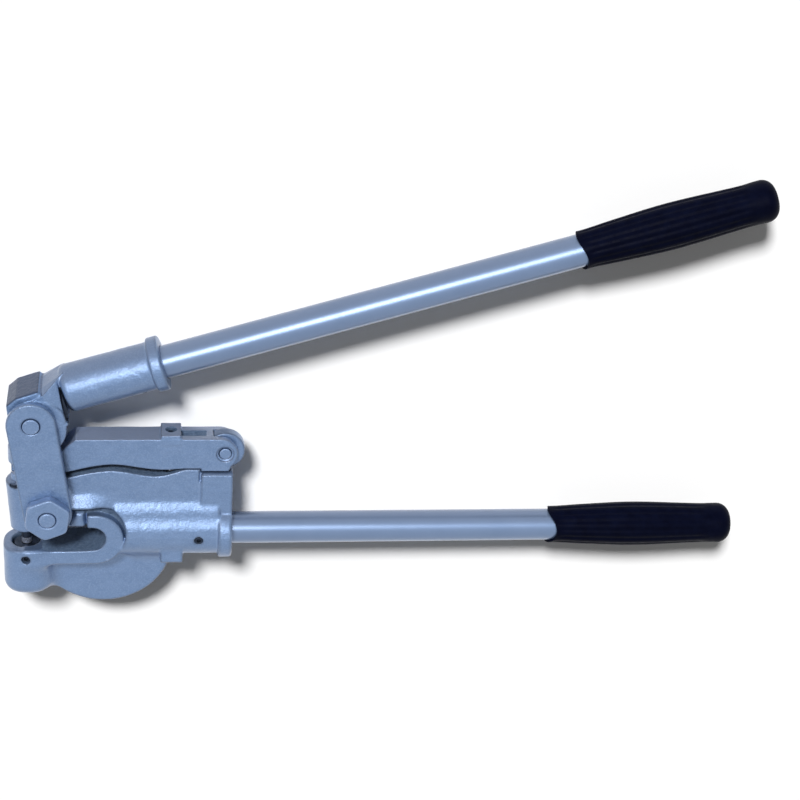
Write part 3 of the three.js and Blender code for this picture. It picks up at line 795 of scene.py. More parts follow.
# Groove where the pad meets the body, and the notch across the nose
SEAM_BOX = (LAND_END - 1.0, LAND_END + 0.4, 49.0, LEDGE_TOP + 2)
SEAM_FLOOR = 9.6
NOTCH_BOX = (-10.6, -4.5, 8.2, 12.8)
NOTCH_BOTTOM = 45.4
NOTCH_TOP = 48.0
NOTCH_EDGE = 0.4

# Tubes, screws and tools that the bores hold
TUBE_RADIUS = 12.7
TUBE_SEAT_RADIUS = TUBE_RADIUS + FIT
LOWER_TUBE_SEAT = 90.5
PLUNGER_RADIUS = 7.2
PLUNGER_BOTTOM = 6.2
DIE_TOP = -11.3
DIE_BOTTOM = -30.3
DIE_SEAT_CHAMFER = 2.6
SCREW_RADIUS = 3.0
SCREW_HOLE_RADIUS = SCREW_RADIUS + FIT
SCREW_HOLE_TOP = 30.0
LOWER_SCREW_X = 134.3
DIE_SCREW_Y = -16.8
DIE_SCREW_SEAT = 10.4
BAR_PIVOT_BORE = 4.9

# Bores along Y, each its radius, bottom and top
DIE_SEAT = (DIE_RADIUS + FIT, DIE_BOTTOM - FIT, THROAT_FLOOR + OVERRUN)
DIE_SEAT_MOUTH = (DIE_RADIUS + FIT, -14.0, THROAT_FLOOR + OVERRUN)
PUNCH_BORES = (
    (PLUNGER_RADIUS + FIT, BARREL_BOTTOM - OVERRUN, BARREL_TOP + OVERRUN), DIE_SEAT,
    (7.0, DIE_BOSS_BOTTOM - OVERRUN, DIE_BOTTOM),
)
SPRING_BORES = ((6.2, 45.0, 64.0), (2.3, 32.7, 50.0))


def bores(g, centre_x, rows):
    return [slab(np.hypot(g.x - centre_x, g.z) - radius, g.y, low, high) for radius, low, high in rows]


def frame_body(g):
    outline = [
        (SHOULDER_X, BODY_FOOT), (COLLAR_END, BODY_FOOT), (COLLAR_END, LEDGE_TOP),
        (LAND_END, LEDGE_TOP), (LAND_END, WAVE_KNOTS[-1][1]), *wave()[::-1], (SHOULDER_X, SHOULDER_Y),
    ]
    return plate(g, polygon(g.x, g.y, outline), BODY_HALF, CAST_EDGE)


def lower_socket(g):
    round_part = np.hypot(g.y, g.z)
    sleeve = slab(round_part - SOCKET_RADIUS, g.x, SOCKET_START, COLLAR_END, CAST_EDGE)
    collar = slab(round_part - COLLAR_RADIUS, g.x, COLLAR_START, COLLAR_END, COLLAR_EDGE)
    return sleeve, collar


def shelf(g):
    """The body's swelling over the socket, two slopes with a step between them."""
    places, heights = zip(*SHELF_KNOTS)
    top = sum(np.interp(g.y + shift, places, heights) for shift in SHELF_BLUR) / len(SHELF_BLUR)
    front = (np.abs(g.z) - top) * LEAN_SHARE
    limits = rectangle(g.x, g.y, SOCKET_START, COLLAR_START + 2, 0, places[-1])
    return carve(front, -limits, SHELF_ROUND)


def rim_room(g):
    """The hollow beyond the rim's round end, widest at its upper right and gone below."""
    ring = disc(g.x, g.y, ROOM_X, ROOM_Y, ROOM_RADIUS)
    beside = rectangle(g.x, g.y, ROOM_LEFT, ROOM_X, 0, ROOM_TOP)
    return np.maximum(np.minimum(ring, beside), ROOM_FLOOR - np.abs(g.z))


def eased(share):
    """A share with a soft start and end, kept between 0 and 1."""
    share = np.clip(share, 0, 1)
    return share * share * (3 - 2 * share)


def nose_root(g):
    """A slope of the body up to the nose, gone where the rim turns down."""
    rise = eased((ROOT_TOP - g.y) / ROOT_TOP_RUN)
    fall = eased((ROOT_RIGHT - g.x) / ROOT_RIGHT_RUN)
    front = (np.abs(g.z) - BODY_HALF + ROOT_SINK - ROOT_HEIGHT * rise * fall) * LEAN_SHARE
    return np.maximum(front, rectangle(g.x, g.y, *ROOT_BOX))


def throat_rim(g):
    outline = [
        (RIM_ARM_X, RIM_RADIUS), (RIM_ARM_X, THROAT_FLOOR), (0, THROAT_FLOOR), (0, -RIM_RADIUS),
        *arc(RIM_X, 0, RIM_RADIUS, -90, 90),
    ]
    return plate(g, polygon(g.x, g.y, outline), RIM_HALF, RIM_EDGE)


def thumb(g):
    """The rounded end of the nose's root, left of the rim's upper arm."""
    return plate(g, polygon(g.x, g.y, THUMB_OUTLINE), THUMB_HALF, THUMB_EDGE)


def barrel(g):
    rise = (g.y - BARREL_BOTTOM) / (BARREL_TOP - BARREL_BOTTOM)
    radius = BARREL_BOTTOM_RADIUS + (BARREL_TOP_RADIUS - BARREL_BOTTOM_RADIUS) * rise
    return slab(np.hypot(g.x, g.z) - radius, g.y, BARREL_BOTTOM, BARREL_TOP, CAST_EDGE)


def die_boss(g):
    squared = np.abs(g.x - DIE_BOSS_X) ** BOSS_SQUARENESS + np.abs(g.z) ** BOSS_SQUARENESS
    shaft = squared ** (1 / BOSS_SQUARENESS) - DIE_BOSS_RADIUS
    dome = slab(shaft, g.y, DIE_BOSS_BOTTOM, THROAT_FLOOR + 2 * DIE_BOSS_ROUND, DIE_BOSS_ROUND)
    lip = np.maximum(g.y - THROAT_FLOOR, shaft + BOSS_LIP + (g.y - THROAT_FLOOR))
    return np.maximum(dome, lip)


def throat_space(g, grow=0.0):
    centre = (THROAT_ROOF + THROAT_FLOOR) / 2
    radius = (THROAT_ROOF - THROAT_FLOOR) / 2
    straight = rectangle(g.x, g.y, -DIE_BOSS_RADIUS - OVERRUN, THROAT_END, THROAT_FLOOR, THROAT_ROOF)
    return np.minimum(straight, disc(g.x, g.y, THROAT_END, centre, radius)) - grow


def web(g):
    half_disc = np.maximum(disc(g.x, g.y, WEB_X, WEB_Y, WEB_RADIUS), g.y - WEB_TOP)
    return plate(g, half_disc, WEB_HALF, WEB_EDGE)


def bottom_lug(g, bottom, half):
    return plate(g, rectangle(g.x, g.y, LUG_LEFT, LUG_RIGHT, bottom, 0), half, LUG_EDGE)


def tongue(g):
    """The flat eye that stands up between the bar's cheeks and holds its pivot."""
    eye = round_at(g, BAR_PIVOT, TONGUE_RADIUS)
    left = BAR_PIVOT.x - TONGUE_RADIUS + OVERRUN
    neck = rectangle(g.x, g.y, left, BAR_PIVOT.x, LEDGE_TOP - OVERRUN, BAR_PIVOT.y)
    eye, neck = (plate(g, part, TONGUE_HALF, TIGHT_EDGE) for part in (eye, neck))
    return union(eye, neck, TIGHT_EDGE)


def nose_notch(g):
    """A small slot across the nose's upper left, beside the link."""
    return slab(rectangle(g.x, g.z, *NOTCH_BOX), g.y, NOTCH_BOTTOM, NOTCH_TOP)


def frame_forms(g):
    """What joins or cuts the body, in this order, each with the size of its fillet."""
    nose = plate(g, round_at(g, BOLT, NOSE_RADIUS), NOSE_HALF, CAST_EDGE)
    sleeve, collar = lower_socket(g)
    web_growth = WEB_BLEND_GROWTH * np.clip((g.x - WEB_BLEND_START) / WEB_BLEND_RUN, 0, 1)
    boss_growth = np.clip((BOSS_BLEND_START - g.y) * BOSS_BLEND_RATE, 0, BOSS_BLEND_GROWTH)
    pad = rectangle(g.x, g.y, LAND_END, COLLAR_END, PAD_BOTTOM, PAD_TOP)
    return (
        (union, sleeve, 5.0),
        (union, shelf(g), CREASE),
        (union, nose, 6.0),
        (union, nose_root(g), CREASE),
        (carve, np.maximum(g.x - SHOULDER_X, BARREL_TOP - g.y), 1.0),
        (union, collar, 1.2),
        (carve, rim_room(g), 2.2),
        (union, thumb(g), 2.0),
        (union, throat_rim(g), CREASE),
        (union, web(g), WEB_BLEND + web_growth),
        (carve, throat_space(g), CAST_EDGE),
        (union, barrel(g), 3.0),
        (union, die_boss(g), BOSS_BLEND + boss_growth),
        (union, bottom_lug(g, LUG_BOTTOM, LUG_HALF), 1.5),
        (union, bottom_lug(g, LUG_PAD_BOTTOM, LUG_PAD_HALF), 1.5),
        (union, plate(g, pad, PAD_HALF, TIGHT_EDGE), 1.0),
        (carve, np.maximum(rectangle(g.x, g.y, *SEAM_BOX), SEAM_FLOOR - np.abs(g.z)), 0.6),
        (carve, COLLAR_END - g.x, 0.0),
        (union, tongue(g), 1.0),
    )


def frame_bores(g):
    """The bores, the die's seat, the spring's pocket, the screw holes and the notch."""
    lower_screw = disc(g.x, g.y, LOWER_SCREW_X, 0, SCREW_HOLE_RADIUS)
    die_screw = disc(g.x, g.y, 0, DIE_SCREW_Y, SCREW_HOLE_RADIUS)
    holes = bores(g, 0, PUNCH_BORES) + bores(g, SPRING_X, SPRING_BORES) + [
        slab(np.hypot(g.y, g.z) - TUBE_SEAT_RADIUS, g.x, LOWER_TUBE_SEAT, COLLAR_END + OVERRUN),
        round_at(g, BOLT, PIVOT_RADIUS + FIT),
        round_at(g, BAR_PIVOT, BAR_PIVOT_BORE),
        slab(lower_screw, g.z, TUBE_RADIUS, SCREW_HOLE_TOP),
        slab(die_screw, g.z, DIE_SCREW_SEAT, SCREW_HOLE_TOP),
    ]
    mouth = bores(g, 0, [DIE_SEAT_MOUTH])[0]
    rounded = [(carve, mouth, DIE_SEAT_CHAMFER), (carve, nose_notch(g), NOTCH_EDGE)]
    return [(carve, hole, 0.0) for hole in holes] + rounded


def shaded_and_bare_inside(piece):
    """Darkens the throat's inside and the die's seat, partly bare casting and partly painted shade, and
    paints shade into the slot under the bar and the rim's hollow.
    """
    x, y, z, face_z = face_places(piece.data)
    here = FlatPoints(x, y, z)
    from_punch = np.hypot(x, z)
    depth = np.abs(z)
    upright = np.abs(face_z)
    throat = (throat_space(here, 0.9) < 0) & (depth < RIM_HALF - 1.6) & (x > 12.4) & (upright < 0.6)
    throat &= ~((from_punch < BARREL_TOP_RADIUS + 2) & (y > BARREL_BOTTOM - 2))
    seat = (from_punch < DIE_RADIUS + 0.8) & (y < THROAT_FLOOR - 0.8) & (y > DIE_BOSS_BOTTOM - 1)
    seat |= (from_punch < DIE_RADIUS + 2.4) & (y < THROAT_FLOOR - 0.1) & (y > THROAT_FLOOR - 4)
    beside_rim = (rim_room(here) < 0.8) & (disc(x, y, RIM_X, 0, RIM_RADIUS) > 0.2)
    beside_rim &= (depth < BODY_HALF + 2.5) & (x > ROOM_LEFT) & (y > 2)
    under_bar = (x > SLOT_START) & (x < SLOT_END) & (y > SLOT_FOOT)
    under_bar &= (depth < BODY_HALF - 1.4) & (upright < 0.5)
    second_look(piece, throat | seat | under_bar | beside_rim)
    # Painted shadow in the notch, where the bar's end shades the nose's top
    second_look(piece, nose_notch(here) < 0.5, "dark")


def frame_casting():
    low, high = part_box("frame_casting")
    g = Grid((low - ORIGIN) / MM, (high - ORIGIN) / MM, CAST_STEP)
    solid = frame_body(g)
    for join, form, fillet in (*frame_forms(g), *frame_bores(g)):
        solid = join(solid, form, fillet)
    shaded_and_bare_inside(casting("cast_frame", g, solid, "cast", "frame", "frame_casting"))


frame_casting()


# Pressure bar

BAR_EDGE = 1.0
TOP_LUG_EDGE = 0.9
FORK_BOTTOM = 50.0
FORK_REACH = 25.0
TONGUE_ROOM = 0.5

# Cuts that run out of the bar end here
BELOW_BAR = 40.0
ABOVE_BAR = 100.0

# Bores for the plunger's button, and for the spring, the stop screw and its head
BUTTON_SLOT = ((9.2, 56.6, 64.2), (5.6, BELOW_BAR, 57.6))
BUTTON_SLOT_LEFT = -20.0
COUNTERBORE_RADIUS = 3.8
COUNTERBORE_BOTTOM = 81.0
BAR_SPRING_BORES = ((7.0, 50.0, 70.0), (3.2, 65.0, 95.0), (COUNTERBORE_RADIUS, COUNTERBORE_BOTTOM, 95.0))

# Groove along the top, with a sloping floor
GROOVE_DEPTH = 2.4
GROOVE_SLOPE = 14.0
GROOVE_HALF = 4.2


def bar_body(g):
    cheek = arc(BAR_PIVOT.x - BAR_CHEEK_CUT, BAR_PIVOT.y, BAR_CHEEK_RADIUS, -50, 90)
    outline = [
        (0, BAR_SEAT), (0, WAVE_KNOTS[0][1] + BAR_WAVE_GAPS[0]), *wave(BAR_WAVE_GAPS),
        (LAND_END, WAVE_KNOTS[-1][1] + BAR_LAND_GAP), (LAND_END, BAR_UNDERSIDE),
        (BAR_PIVOT.x + 3, BAR_UNDERSIDE), *cheek,
        (BAR_RAMP_RIGHT, BAR_TOP), (BAR_SEAT_RIGHT, BAR_SEAT),
    ]
    solid = plate(g, polygon(g.x, g.y, outline), BODY_HALF, BAR_EDGE)
    end = slab(np.hypot(g.x, g.z) - BAR_END_RADIUS, g.y, BAR_END_BOTTOM, BAR_SEAT, BAR_EDGE)
    lug_top = BAR_TOP + TOP_LUG_RISE
    lug = rectangle(g.x, g.y, TOP_LUG_LEFT, TOP_LUG_RIGHT, BAR_TOP - OVERRUN, lug_top)
    return union(union(solid, end, 1.5), plate(g, lug, BODY_HALF, TOP_LUG_EDGE), 1.2)


def bar_fork(g):
    """The room that the frame's tongue takes between the bar's cheeks."""
    half = TONGUE_HALF + FIT
    left, right = BAR_PIVOT.x - TONGUE_RADIUS, BAR_PIVOT.x + FORK_REACH
    rooms = (
        round_at(g, BAR_PIVOT, TONGUE_RADIUS + TONGUE_ROOM),
        rectangle(g.x, g.y, BAR_PIVOT.x, right, BELOW_BAR, ABOVE_BAR),
        rectangle(g.x, g.y, left, BAR_PIVOT.x, FORK_BOTTOM, BAR_PIVOT.y),
    )
    return [plate(g, room, half) for room in rooms]


def bar_bores(g):
    pivot = round_at(g, BAR_PIVOT, BAR_PIVOT_BORE)
    slots = [
        slab(rectangle(g.x, g.z, BUTTON_SLOT_LEFT, 0, -half, half), g.y, low, high)
        for half, low, high in BUTTON_SLOT
    ]
    return [pivot, *slots, *bores(g, 0, BUTTON_SLOT), *bores(g, SPRING_X, BAR_SPRING_BORES)]


def top_groove(g):
    floor = BAR_TOP - GROOVE_DEPTH * np.clip((TOP_GROOVE_RIGHT - g.x) / GROOVE_SLOPE, 0, 1)
    sides = rectangle(g.x, g.z, TOP_LUG_RIGHT, TOP_GROOVE_RIGHT, -GROOVE_HALF, GROOVE_HALF)
    return np.maximum(sides, floor - g.y)


def bar_painted_shade(piece):
    """Paints shade into the bar's groove, the stop screw's hole and the side of the slot under the bar."""
    x, y, z, _ = face_places(piece.data)
    painted_shade = (x > TOP_LUG_RIGHT - 0.2) & (x < TOP_GROOVE_RIGHT + 0.2) & (np.abs(z) < GROOVE_HALF + 0.1)
    painted_shade &= (y > BAR_TOP - 3) & (y < BAR_TOP - 0.4)
    painted_shade |= (np.hypot(x - SPRING_X, z) < COUNTERBORE_RADIUS + 0.8) & (y > COUNTERBORE_BOTTOM - 3)
    painted_shade |= (x > SLOT_START) & (x < SLOT_END) & (y < 66) & (np.abs(z) < BODY_HALF - 1.2)
    second_look(piece, painted_shade)


def pressure_bar():
    low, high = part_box("pressure_bar")
    g = Grid((low - ORIGIN) / MM, (high - ORIGIN) / MM, FINE_STEP)
    solid = bar_body(g)
    for cut in bar_fork(g) + bar_bores(g):
        solid = carve(solid, cut)
    recess = round_at(g, BAR_PIVOT, BAR_RECESS_RADIUS)
    recess = np.maximum(recess, BODY_HALF - BAR_RECESS_DEPTH - np.abs(g.z))
    solid = carve(carve(solid, recess, CREASE), top_groove(g), CREASE)
    bar_painted_shade(casting("cast_pressure_bar", g, solid, "bar", "pressure_bar", "pressure_bar"))


pressure_bar()


# Handle head, drawn from the hub's centre with the handle along X

HEAD_LOW = (-35.5, -26, -UPPER_COLLAR_RADIUS)
HEAD_HIGH = (UPPER_COLLAR_END, 42, UPPER_COLLAR_RADIUS)
CAP_RADIUS = 24.2
CAP_LEFT = -9.0
CAP_BOTTOM = -4.0
BLOCK_OUTLINE = [
    (-20.2, 4), (-15.4, 25.1), (-6.7, 29.3), (10.6, 29.9), (12.4, 27.4), (14.2, 26.2), (21.6, 3), (0, -8),
]
BLOCK_EDGE = 2.0
BLOCK_END = 13.2

# Planes of the neck, each by its slopes along X, Y and away from the middle, and a point on it
NECK_TOP = (-0.348564, 0.937, 0), (10.0, 27.2, 0)
NECK_CROWN = (-0.337, 0.913, 0.231), (8.1, 26.4, 10.0)
NECK_FOOT = (0.1, -0.98, 0), (0, -2.5, 0)
NECK_HEEL = (0.69549, -0.717, 0), (21.8, -1.5, 0)
NECK_BEYOND = (0.948, 0.319, 0), (21.2, 4.2, 0)
NECK_HALF = 18.4
NECK_TAPER = 0.52
NECK_SIDE_SHARE = 0.887
NECK_RIGHT = 32.0
NECK_CUT_TOP = 27.5
NECK_CUT_RATE = 1.5
NECK_CUT_MOST = 6.0

UPPER_TUBE_SEAT = 53.0
MOUTH_START = 60.0
SLEEVE_ROUND = 5.5
UPPER_COLLAR_EDGE = 1.6

# Gap between the block and the socket, widening downwards
GAP_HALF = 0.4
GAP_RATE = 0.13
GAP_NARROW_TOP = 29.0
GAP_WIDE_RUN = 24.0
GAP_TOP = 31.0
GAP_BOTTOM = -1.0
GAP_FLOOR = 11.0


def plane(g, slopes, point):
    return (
        slopes[0] * (g.x - point[0]) + slopes[1] * (g.y - point[1]) + slopes[2] * (np.abs(g.z) - point[2])
    )


def head_block(g):
    round_hub = np.hypot(g.x, g.y)
    cap = np.maximum(np.maximum(round_hub - CAP_RADIUS, CAP_BOTTOM - g.y), CAP_LEFT - g.x)
    hub, cap = (plate(g, part, NOSE_HALF, CREASE) for part in (round_hub - HUB_RADIUS, cap))
    outline = polygon(g.x, g.y, BLOCK_OUTLINE)
    block = plate(g, outline, HEAD_BLOCK_HALF, BLOCK_EDGE)
    return union(union(hub, cap, 0.5), block, TIGHT_EDGE)


def head_neck(g):
    taper = NECK_TAPER * np.maximum(plane(g, *NECK_BEYOND), 0)
    side = (np.abs(g.z) - NECK_HALF + taper) * NECK_SIDE_SHARE
    right = g.x - NECK_RIGHT + np.clip((NECK_CUT_TOP - g.y) * NECK_CUT_RATE, 0, NECK_CUT_MOST)
    neck = np.maximum(side, np.maximum(right, -g.x))
    for limit in (NECK_TOP, NECK_CROWN, NECK_FOOT, NECK_HEEL):
        neck = np.maximum(neck, plane(g, *limit))
    return neck


def upper_socket(g, axis):
    """The round sleeve with its square mouth, and the collar, about the tube's axis."""
    sleeve = slab(axis - UPPER_SOCKET_RADIUS, g.x, UPPER_SOCKET_START, UPPER_COLLAR_END, SLEEVE_ROUND)
    mouth = slab(axis - UPPER_SOCKET_RADIUS, g.x, MOUTH_START, UPPER_COLLAR_END, TIGHT_EDGE)
    collar = slab(axis - UPPER_COLLAR_RADIUS, g.x, UPPER_COLLAR_START, UPPER_COLLAR_END, UPPER_COLLAR_EDGE)
    return union(sleeve, mouth), collar


def gap_half(height, least=GAP_HALF):
    return least + GAP_RATE * np.clip(GAP_NARROW_TOP - height, 0, GAP_WIDE_RUN)


def head_gap(g):
    gap = np.maximum(np.abs(g.x - UPPER_SOCKET_START) - gap_half(g.y), GAP_FLOOR - np.abs(g.z))
    return np.maximum(np.maximum(gap, g.y - GAP_TOP), GAP_BOTTOM - g.y)


def head_painted_shade(piece):
    """Paints shade on the head's block with the block look, a darker side tone and less gloss, and into the
    gap between it and the socket with the dark look.
    """
    x, y, z, _ = face_places(piece.data)
    cos, sin = math.cos(HANDLE_ANGLE), math.sin(HANDLE_ANGLE)
    along = (x - HUB.x) * cos + (y - HUB.y) * sin
    across = (y - HUB.y) * cos - (x - HUB.x) * sin
    second_look(piece, along < BLOCK_END, "block")
    in_gap = np.abs(along - UPPER_SOCKET_START) < gap_half(across, 2 * GAP_HALF)
    in_gap &= (across > GAP_BOTTOM - 1) & (across < 26) & (np.abs(z) > GAP_FLOOR - 1) & (np.abs(z) < 16)
    second_look(piece, in_gap, "dark")


def handle_head():
    g = Grid(HEAD_LOW, HEAD_HIGH, FINE_STEP)
    axis = np.hypot(g.y - UPPER_AXIS, g.z)
    socket, collar = upper_socket(g, axis)
    solid = head_block(g)
    for form, fillet in ((head_neck(g), 1.5), (socket, 0.6), (collar, 1.4)):
        solid = union(solid, form, fillet)
    solid = carve(solid, head_gap(g), 1.0)
    turn = HUB_THROW_ANGLE - HANDLE_ANGLE
    pin_x, pin_y = -HUB_THROW * math.cos(turn), -HUB_THROW * math.sin(turn)
    screw = np.hypot(g.x - UPPER_SCREW, g.z) - SCREW_HOLE_RADIUS
    cuts = [
        slab(axis - TUBE_SEAT_RADIUS, g.x, UPPER_TUBE_SEAT, UPPER_COLLAR_END + OVERRUN),
        disc(g.x, g.y, pin_x, pin_y, PIVOT_RADIUS + FIT),
        slab(screw, g.y, UPPER_AXIS - SCREW_HOLE_TOP, UPPER_AXIS - TUBE_RADIUS),
    ]
    for cut in cuts:
        solid = carve(solid, cut)
    head_painted_shade(casting("cast_handle_head", g, solid, "cast", "handle", "handle_head_casting", on_handle))


handle_head()


# Links, their bolt, nut and pins

LINK_EDGE = 1.1
LINK_BORE_EDGE = 1.6
LINK_INNER = NOSE_HALF + FIT
HEX_INNER = LINK_INNER + FIT + LINK_THICKNESS
HEX_OUTER = HEX_INNER + 8.0
HEX_ACROSS = 32.6
HEX_TURN = math.radians(82)
BOLT_PROUD = 0.7
PIN_EDGE = 0.8

# Rounds as pairs: the hexagon's share and its depth, and steps in or out of a radius with their depth
HEX_ROUND = ((1.0, 1.5), (0.985, 0.6), (0.955, 0.1), (0.93, 0), (0.90, 0), (0.80, 0))
NUT_BORE_ROUND = ((2.2, 0), (1.1, 0), (0.7, 0.2), (0.2, 0.7), (0, 1.4))
BOLT_END_ROUND = ((0, 0.9), (0.3, 0.4), (0.8, 0.1), (1.2, 0))


def links():
    lean = math.atan2(PIN.y - BOLT.y, PIN.x - BOLT.x)
    length = math.hypot(PIN.x - BOLT.x, PIN.y - BOLT.y)
    wide = LINK_HALF_WIDTH
    outer = LINK_INNER + LINK_THICKNESS
    g = Grid((-wide, -wide, LINK_INNER), (length + wide, wide, outer), FINE_STEP)
    flat = np.hypot(g.x - np.clip(g.x, 0, length), g.y) - wide
    solid = slab(flat, g.z, LINK_INNER, outer, LINK_EDGE)
    for along in (0, length):
        solid = carve(solid, disc(g.x, g.y, along, 0, PIVOT_RADIUS + FIT), LINK_BORE_EDGE)
    points, quads = skin(g, solid)
    turn = np.array(Matrix.Rotation(lean, 3, "Z"))
    for name, node, side in (("cast_link_front", "front_link", 1), ("cast_link_rear", "rear_link", -1)):
        here = points * np.array((1, 1, side)) @ turn.T + np.array((BOLT.x, BOLT.y, 0))
        faces = quads if side > 0 else quads[:, ::-1]
        add_piece(name, make_mesh(name, here, faces), "link", "links", node)


def bolt_hexagon(angle):
    return hexagon(HEX_ACROSS, angle, HEX_TURN)


def hexagon_sides():
    """The outside of the nut from its inner to its outer face, as a profile of shares."""
    sides = [(0.985, HEX_INNER, 1), (1.0, HEX_INNER + 0.5, 1)]
    return sides + [(share, HEX_OUTER - depth, 1) for share, depth in HEX_ROUND]


def nut():
    bore = PIVOT_RADIUS + FIT
    profile = [(bore, HEX_INNER), *hexagon_sides()]
    profile += [(bore + step, HEX_OUTER - depth) for step, depth in NUT_BORE_ROUND]
    at = (BOLT.x, BOLT.y, 0)
    turned_piece("cast_nut", profile, "z", at, "cast", "frame", "link_bolt_nut", 96, bolt_hexagon)


def bolt():
    end = HEX_OUTER + BOLT_PROUD
    head = [(share, -height, shaped) for share, height, shaped in reversed(hexagon_sides())]
    profile = [(0, -HEX_OUTER), *head, (PIVOT_RADIUS, -HEX_INNER)]
    profile += [(PIVOT_RADIUS - step, end - depth) for step, depth in BOLT_END_ROUND] + [(0, end)]
    at = (BOLT.x, BOLT.y, 0)
    turned_piece("cast_bolt", profile, "z", at, "cast", "frame", "link_bolt", 96, bolt_hexagon)


def plain_pin(name, node, body, at):
    half, radius = extent(node).z / 2, extent(node).x / 2
    profile = softened([(0, -half), (radius, -half), (radius, half), (0, half)], PIN_EDGE)
    turned_piece(name, profile, "z", at, "cast", body, node)


links()
nut()
bolt()
plain_pin("cast_link_pin", "link_pin", "links", PIN)
plain_pin("steel_bar_pivot", "bar_pivot_pin", "frame", BAR_PIVOT)


# Plunger, punch and die

# Profiles as (radius, height) pairs
PUNCH_BORE_RADIUS = 5.3
PLUNGER_PROFILE = (
    (PUNCH_BORE_RADIUS, PLUNGER_BOTTOM), (PLUNGER_RADIUS, PLUNGER_BOTTOM), (PLUNGER_RADIUS, 48.4),
    (4.6, 48.4), (4.6, 57.4), (8.2, 57.4), (8.2, 63.4), (3.0, 63.4), (3.0, 26.5), (PUNCH_BORE_RADIUS, 26.5),
)
PUNCH_PROFILE = (
    (0, -10.95), (3.95, -10.95), (3.95, PLUNGER_BOTTOM), (5, PLUNGER_BOTTOM), (5, 26.2), (0, 26.2),
)
DIE_PROFILE = (
    (4.1, DIE_TOP), (4.1, -16.3), (5.0, -16.3), (5.0, DIE_BOTTOM), (DIE_RADIUS, DIE_BOTTOM),
    (DIE_RADIUS, DIE_TOP - 0.8), (DIE_RADIUS - 0.8, DIE_TOP),
)
PUNCH_SHADE_BOTTOM = -5.4
PLUNGER_EDGE = 0.5
TOOL_EDGE = 0.25


def plunger():
    profile = softened(PLUNGER_PROFILE, PLUNGER_EDGE)
    turned_piece("steel_plunger", profile, "y", (0, 0, 0), "steel", "plunger", "plunger", 48)


def punch():
    """Bright at its tip, with painted shadow on the shank above it, where the nose shades it."""
    profile = softened(PUNCH_PROFILE, TOOL_EDGE)
    piece = turned_piece("steel_punch", profile, "y", (0, 0, 0), "steel", "plunger", "punch", 48)
    _, y, _, _ = face_places(piece.data)
    second_look(piece, y > PUNCH_SHADE_BOTTOM, "dark")


def die():
    profile = softened(DIE_PROFILE, TOOL_EDGE)
    turned_piece("steel_die", profile, "y", (0, 0, 0), "dark", "frame", "die", 64)


plunger()
punch()
die()


# Set screws, stop screw and spring

SCREW_LENGTH = 7.0
SCREW_SEAT = 13.0
PUNCH_SCREW_RADIUS = 2.0
PUNCH_SCREW_LENGTH = 1.6
PUNCH_SCREW_Y = 16.0
KEY_SHARE = 1.1
STOP_RADIUS = 2.0
STOP_END = 33.0
STOP_HEAD_RADIUS = 2.8
STOP_HEAD_HEIGHT = 4.0
STOP_HEAD_DEPTH = 2.2
STOP_KEY_ACROSS = 3.52
KEY_CORNER = 60
SPRING_TURNS = 7
SPRING_STEPS = 28
SPRING_SIDES = 10
SPRING_RADIUS = 4.8
SPRING_WIRE = 1.1
SPRING_BOTTOM = 46.3
SPRING_TOP = 68.1


def set_screw(name, node, body, at, direction="z", radius=SCREW_RADIUS, length=SCREW_LENGTH):
    """A headless screw with a pointed end at the given place and a hexagon socket in its top."""
    key = lambda angle: hexagon(KEY_SHARE * radius, angle, 0, KEY_CORNER)
    profile = [
        (0, 0), (radius * 0.6, 0), (radius, radius * 0.4), (radius, length - 0.4), (radius - 0.4, length),
        (radius * 0.75, length), (1.06, length - 0.15, 1), (1.0, length - 0.4, 1), (1.0, length / 2, 1),
        (0, length / 2 - 0.3),
    ]
    turned_piece(name, profile, direction, at, "dark", body, node, 48, key)


def set_screws():
    set_screw("screw_lower_socket", "lower_socket_screw", "frame", (LOWER_SCREW_X, 0, SCREW_SEAT))
    set_screw("screw_die", "die_set_screw", "frame", (0, DIE_SCREW_Y, DIE_SCREW_SEAT + FIT))
    at = (0, PUNCH_SCREW_Y, PUNCH_BORE_RADIUS)
    radius, length = PUNCH_SCREW_RADIUS, PUNCH_SCREW_LENGTH
    set_screw("screw_punch", "punch_set_screw", "plunger", at, radius=radius, length=length)
    at = on_handle([(UPPER_SCREW, UPPER_AXIS - SCREW_SEAT, 0)])[0]
    down = Matrix.Rotation(HANDLE_ANGLE, 3, "Z") @ Matrix.Rotation(math.radians(90), 3, "X")
    set_screw("screw_upper_socket", "upper_socket_screw", "handle", at, down)


def stop_screw():
    top = BAR_TOP + TOP_LUG_RISE - STOP_HEAD_DEPTH
    neck = top - STOP_HEAD_HEIGHT
    radius, head = STOP_RADIUS, STOP_HEAD_RADIUS
    key = lambda angle: hexagon(STOP_KEY_ACROSS, angle, 0, KEY_CORNER)
    profile = [
        (0, STOP_END), (radius - 0.4, STOP_END), (radius, STOP_END + 0.5), (radius, neck),
        (head - 0.2, neck), (head, neck + 0.2), (head, top - 0.4), (head - 0.3, top), (1.08, top, 1),
        (1.0, top - 0.2, 1), (1.0, top - 2, 1), (0, top - 2.3),
    ]
    at = (SPRING_X, 0, 0)
    turned_piece("screw_bar_stop", profile, "y", at, "dark", "frame", "bar_stop_screw", 48, key)


